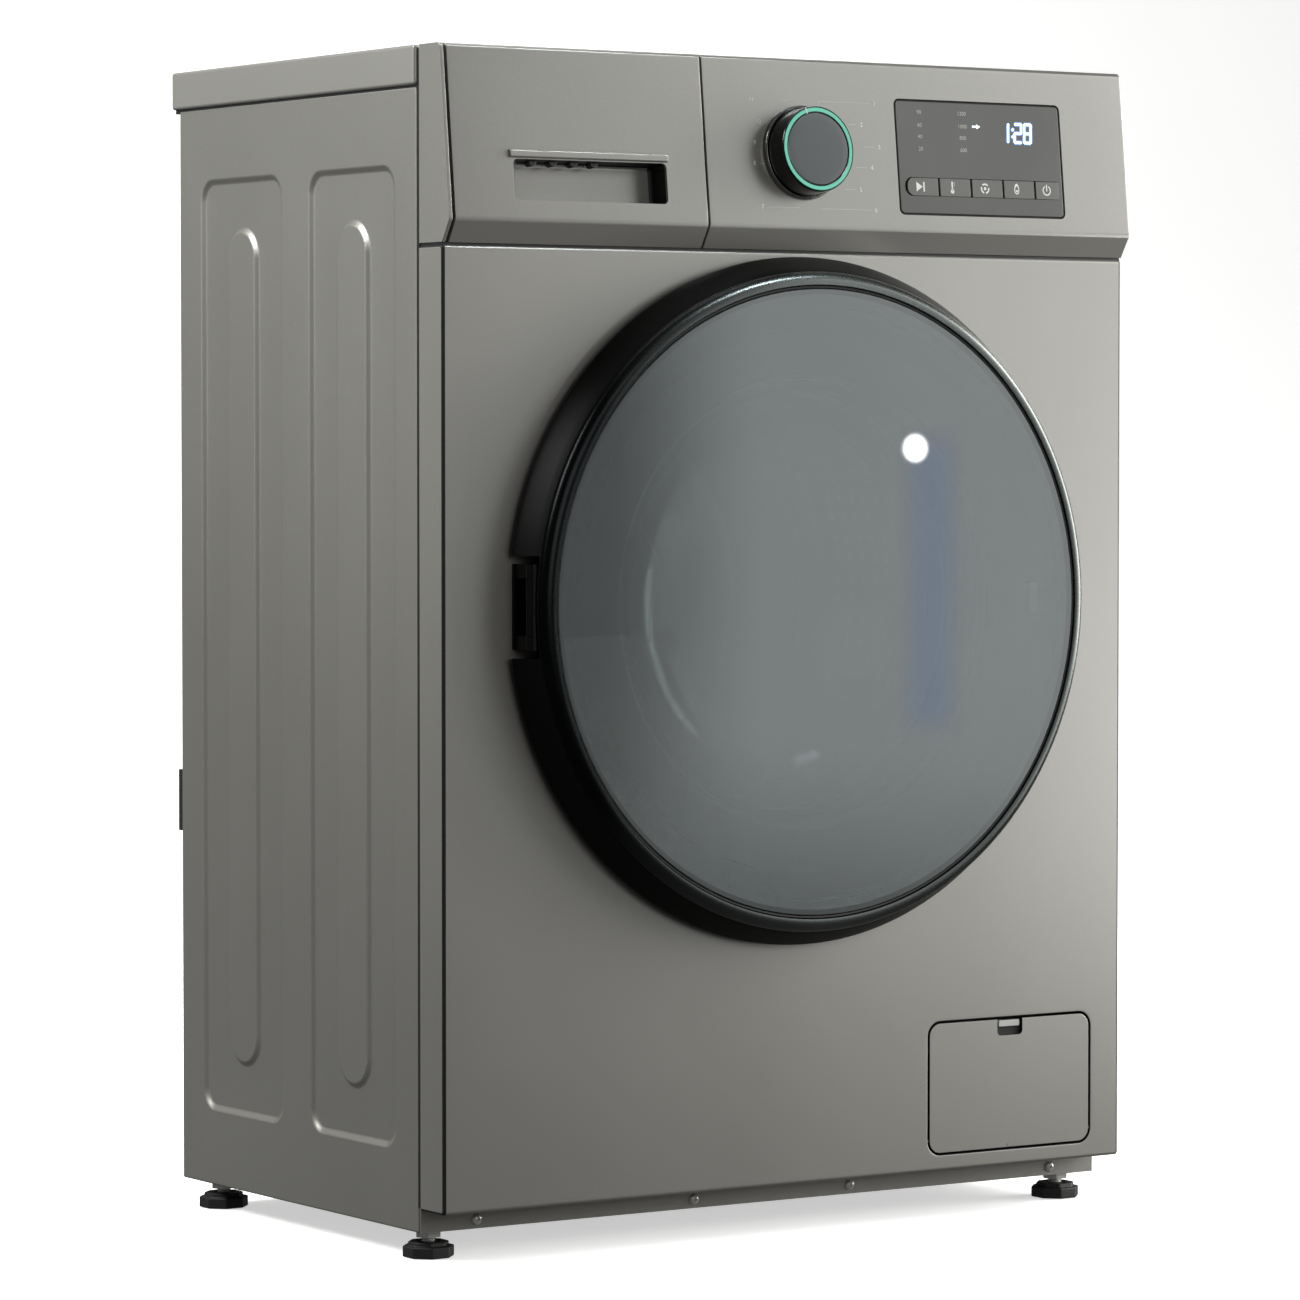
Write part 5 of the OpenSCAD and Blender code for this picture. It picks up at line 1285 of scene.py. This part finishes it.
def makeSeams():  # painted shade: black strips that lie just under the sheets' surfaces, so the seams and gaps between the sheets read dark
    p = seamStrips
    (y0, y1), (x0, x1), (z0, z1) = p["sideY"], p["sideX"], p["z"]
    beads = [bead((x0, y0, z0), (x1, y1, z1)), bead((-x1, y0, z0), (-x0, y1, z1))]
    middle, away, half = p["flap"]
    for x in (middle - away, middle + away):  # behind the drain flap's sides
        beads.append(bead(*[(x + s * half, p["flapY"][i], p["flapZ"][i]) for i, s in enumerate((-1, 1))]))
    for corners in (p["lid"], p["front"]):  # these two run round, with their middles open
        beads.append(bead(*corners))
        editing(beads[-1])
        pickFaces(beads[-1], lambda f: abs(f.normal.z) > 0.99)
        inset(p["rim"])
        bpy.ops.mesh.delete(type="FACE")
        openLoops(beads[-1])
        bpy.ops.mesh.bridge_edge_loops()
        done()
    return joined("seamBeads", beads)


keep(makeSeams(), "cabinet", None, [blackAndPaintedShade], 40)

sealShape = [(165, -1.6), (166.5, -2.2), (182.4, -2.2), (183, -1.6), (183, -0.4), (177.7, -0.4), (177.7, 9),
             (179.2, 12.4), (183.6, 15.2), (187, 18.4), (188, 22), (188, 27), (187, 30.4), (183.2, 33.6), (177.2, 38.4),
             (173.2, 42.4), (172.3, 46), (172.3, 61.6), (168.4, 61.6), (168.4, 46), (167.6, 43.2), (165.4, 41),
             (165.2, 38.6), (168, 36.4), (174, 32.4), (179, 29), (181.5, 26.4), (182, 23.2), (181.4, 20.5),
             (178.5, 17.6), (174.5, 15.2), (170, 14.9), (162.4, 16.2), (160.6, 15.6), (160.1, 14.3), (161, 13.2),
             (166, 11.2), (172, 9.4), (173.5, 8), (173.6, 3), (172.4, 1), (168, -0.1)]
doorSeal = keep(spun("doorSeal", sealShape, 144), None, "door_seal", [sealGrey], 50)
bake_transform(doorSeal)
print("seal and seams made")

coil = {"x": 190.0, "y": 262.0, "low": 668.3, "high": 789.7, "radius": 10.0, "wire": 1.5, "turns": 16, "steps": 24,
        "hook": 4}


def makeSprings():
    p = coil
    rise = p["high"] - p["low"] - 2 * p["wire"]
    deselect()
    bpy.ops.mesh.primitive_circle_add(vertices=12, radius=p["wire"] / 1000, rotation=(math.pi / 2, 0, 0),
                                      location=(p["radius"] / 1000, 0, 0))
    spring = settle(named("suspensionSprings"))
    modify(spring, "SCREW", axis="Z", angle=math.tau, screw_offset=rise / p["turns"] / 1000, iterations=p["turns"],
           steps=p["steps"], render_steps=p["steps"], use_merge_vertices=False)
    editing(spring)
    openLoops(spring)
    bpy.ops.mesh.edge_face_add()
    welded()
    done()
    twin = copied(spring, "springTwin")
    for piece, x in ((spring, -p["x"]), (twin, p["x"])):
        piece.data.transform(Matrix.Translation(at(x, p["y"], p["low"] + p["wire"])))
    return joined("suspensionSprings", [spring, twin])


springs = keep(makeSprings(), None, "suspension_springs", [zincSteel], 60)
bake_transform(springs)

strut = {"x": 262.5, "topX": 196.0, "y": 200.0, "low": 21.0, "top": 261.7, "bendZ": (150, 246),
         "foot": (12, 14), "head": (9, 12), "pivot": 9,
         "tube": [(0, 0), (13.2, 0), (14, 0.8), (14, 118), (13.4, 118.8), (13.4, 122), (14, 122.6), (14, 128),
                  (12.6, 130), (7.4, 130.4), (5.8, 131), (5.8, 226), (5.0, 227), (0, 227)]}


def strutBlock(name, x, half, low, high):
    y = strut["y"]
    return finished(softBlock(name, (x - half, y - half, low), (x + half, y + half, high), 2), blackPlastic)


def makeStruts():
    p, parts = strut, []
    (footHalf, footTall), (headHalf, headTall) = p["foot"], p["head"]
    tilt = math.atan2(p["x"] - p["topX"], p["top"] - p["low"] - footTall)
    for side in (-1, 1):
        tube = finished(spun("strutTube", p["tube"], 40, False, origin), motorIron)
        tube.data.transform(Matrix.Translation(at(side * p["x"], p["y"], p["low"] + p["pivot"]))
                            @ Matrix.Rotation(-side * tilt, 4, "Y") @ Matrix.Rotation(math.pi / 2, 4, "X"))
        parts += [tube, strutBlock("strutFoot", side * p["x"], footHalf, p["low"], p["low"] + footTall),
                  strutBlock("strutHead", side * p["topX"], headHalf, p["top"] - headTall, p["top"])]
    return joined("dampers", parts)


dampers = keep(makeStruts(), None, "dampers", (), 40)
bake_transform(dampers)
print("suspension made")

flapPlate = {"x": 194.8, "z": 97.1, "size": (147.8, 96.0, 9.4), "thick": 2.5, "soften": 0.45, "slot": (23.3, 12.2, 3.2),
             "pegX": 71.3, "pegY": 2.6, "pegZ": 58.5, "peg": (5.5, 1.4, 1.2), "lug": (4, 3, 0.8), "darkEdge": 0.8}
flapTop = flapPlate["z"] + flapPlate["size"][1] / 2


def makeFlap():
    p = flapPlate
    x, y, z = p["x"], p["pegY"], p["pegZ"]
    panel = plate("drainFlap", *p["size"], 0, p["thick"], None, p["soften"])
    panel.data.transform(Matrix.Translation(at(x, 0, p["z"])))
    width, height, radius = p["slot"]
    cutAway(panel, (x - width / 2, -4, flapTop - height), (x + width / 2, 8, flapTop + 6), radius)
    parts = [panel]
    (reach, thick, pegRound), (half, tall, lugRound) = p["peg"], p["lug"]
    for side in (-1, 1):
        peg = x + side * p["pegX"]
        lug = peg - side * 3
        low, high = [(peg + s * reach, y + s * thick, z + s * thick) for s in (-1, 1)]
        parts.append(softBlock("flapPeg", low, high, pegRound, 4))
        parts.append(softBlock("flapLug", (lug - half, 1.5, z - tall), (lug + half, y + 2, z + tall), lugRound))
    foot = p["z"] - p["size"][1] / 2
    parts.append(softBlock("flapNub", (x - 2, -0.25, foot + 1.0), (x + 2, 1, foot + 3.0), 0.2))
    return joined("drainFlap", parts)


drainFlap = keep(makeFlap(), "flap", "drain_flap", [cabinetPaint, blackAndPaintedShade], 35)
for face in drainFlap.data.polygons:  # painted shade: the flap's edge faces are coloured black, for the shade in the gap round it
    face.material_index = 1 if abs(face.normal.y) < flapPlate["darkEdge"] else 0
# painted shade: the finger well behind the slot is coloured black, for the shade inside the slot
for name, low, high, radius, material, slot in (
        ("fingerWell", (-12.4, 2.6, -13.2), (12.4, 5.2, -0.4), 0.8, blackAndPaintedShade, "black_plastic"),
        ("fingerTab", (-9.6, 0.9, -5.8), (9.6, 3.4, -1.0), 0.6, tabGrey, "fascia_plastic")):
    corners = [(flapPlate["x"] + x, y, flapTop + z) for x, y, z in (low, high)]
    keep(softBlock(name, *corners, radius), "flap", None, [material], 35)

filterPocket = {"half": 81.0, "z": (42.0, 152.0), "y": (6.5, 27.0), "wall": 2.0, "deep": 18.5, "bore": 33.6,
                "boreDeep": 40.0, "radius": 3.0}


def makePocket():  # moulded tray behind the flap's opening, with the filter's housing in its bore
    p, x = filterPocket, flapPlate["x"]
    (y0, y1), (z0, z1) = p["y"], p["z"]
    tray = softBlock("filterPocket", (x - p["half"], y0, z0), (x + p["half"], y1, z1), p["radius"])
    editing(tray)
    pickFaces(tray, lambda f: f.normal.y < -0.99)
    inset(p["wall"])
    push(0, p["deep"], 0)
    done()
    deselect()
    bpy.ops.mesh.primitive_cylinder_add(vertices=64, radius=p["bore"] / 1000, depth=p["boreDeep"] / 1000,
                                        rotation=(math.pi / 2, 0, 0), location=at(x, y1, flapPlate["z"]))
    cutBy(tray, settle(named("boreTool")))
    return tray


keep(makePocket(), "cabinet", None, [blackPlastic], 35)

footing = {"x": 278.0, "front": 53.0, "rear": 352.0, "pad": 18.5, "padTall": 8.0, "shoulder": 3.5, "rise": 3,
           "collar": 5, "groove": (0.8, -1), "sole": 2, "soleGroove": (0.4, -0.8), "soften": 0.9,
           "stem": (5.0, 4.4, 1.5, 10.6, 44.0)}


def makeFoot():
    p = footing
    deselect()
    bpy.ops.mesh.primitive_cylinder_add(vertices=8, radius=p["pad"] / 1000, depth=p["padTall"] / 1000,
                                        location=(0, 0, p["padTall"] / 2000), rotation=(0, 0, math.pi / 8))
    pad = settle(named("footPad"))
    editing(pad)
    pickFaces(pad, lambda f: f.normal.z > 0.9)
    inset(p["shoulder"])
    push(0, 0, p["rise"])
    inset(p["collar"])
    inset(*p["groove"])
    pickFaces(pad, lambda f: f.normal.z < -0.9)
    inset(p["sole"])
    inset(*p["soleGroove"])
    pickEdges(pad, lambda a, b, e: e.calc_face_angle(0) > 0.6)
    bevel(p["soften"], 3)
    done()
    smooth(pad, 35)
    crest, root, pitch, low, high = p["stem"]
    profile, z = [(0, low)], low
    while z < high - pitch:  # one turn of the thread
        profile += [(root, z), (crest, z + pitch * 0.35), (crest, z + pitch * 0.65), (root, z + pitch * 0.95)]
        z += pitch
    stem = spun("footStem", profile + [(root - 0.8, high), (0, high)], 24, False, origin)
    stem.data.transform(Matrix.Rotation(math.pi / 2, 4, "X"))
    smooth(stem, 20)
    return joined("levellingFoot", [finished(pad, blackPlastic), finished(stem, zincSteel)])


def placeFeet():
    model = makeFoot()
    for x, y, body, node in ((-1, "front", "foot_fl", "foot_front_left"), (1, "front", "foot_fr", "foot_front_right"),
                             (-1, "rear", "foot_rl", "foot_rear_left"), (1, "rear", "foot_rr", "foot_rear_right")):
        foot = copied(model, "levellingFoot_" + body)
        foot.data.transform(Matrix.Translation(at(x * footing["x"], footing[y], 0)))
        keep(foot, body, node)
    bpy.data.objects.remove(model, do_unlink=True)


placeFeet()

screwHead = {"shape": [(0, -2.3), (1.4, -2.25), (2.6, -1.95), (3.4, -1.35), (3.85, -0.75), (4.0, -0.3), (4.0, 0.2),
                       (1.9, 0.2), (1.9, 6), (0, 6)], "cross": (3.6, 0.95, 1.3), "kick": (-251, -67, 71, 256),
             "kickAt": (31.5, 26.5), "rear": 380, "edgeX": 292.5, "edgeZ": (100, 420, 740), "ring": 163.0}


def screwPlaces():  # where each stands, its twist, and whether it faces the rear
    p = screwHead
    for i, x in enumerate(p["kick"]):
        yield at(x, *p["kickAt"]), 0.2 * i, False
    for side in (-1, 1):
        for z in p["edgeZ"]:
            yield at(side * p["edgeX"], p["rear"], z), 0.3 * z, True
    for a in range(0, 360, 60):
        x, z = p["ring"] * math.cos(math.radians(a)), p["ring"] * math.sin(math.radians(a))
        yield at(x, p["rear"], doorZ + z), 0.7 * a, True


def makeScrews():
    model = spun("screw", screwHead["shape"], 32, False, origin)
    long, wide, deep = screwHead["cross"]
    for across, up in ((long, wide), (wide, long)):
        deselect()
        bpy.ops.mesh.primitive_cube_add(size=1, location=(0, screwHead["shape"][0][1] / 1000, 0))
        tool = named("crossTool")
        tool.scale = (across / 1000, 2 * deep / 1000, up / 1000)
        cutBy(model, settle(tool))
    smooth(model, 35)
    screws = []
    for place, twist, behind in screwPlaces():
        screws.append(copied(model, "screw"))
        turn = Matrix.Rotation(math.pi if behind else 0, 4, "Z") @ Matrix.Rotation(twist, 4, "Y")
        screws[-1].data.transform(Matrix.Translation(place) @ turn)
    bpy.data.objects.remove(model, do_unlink=True)
    return joined("cabinetScrews", screws)


keep(makeScrews(), "cabinet", "cabinet_screws", [zincSteel])
print("flap, feet and screws made")
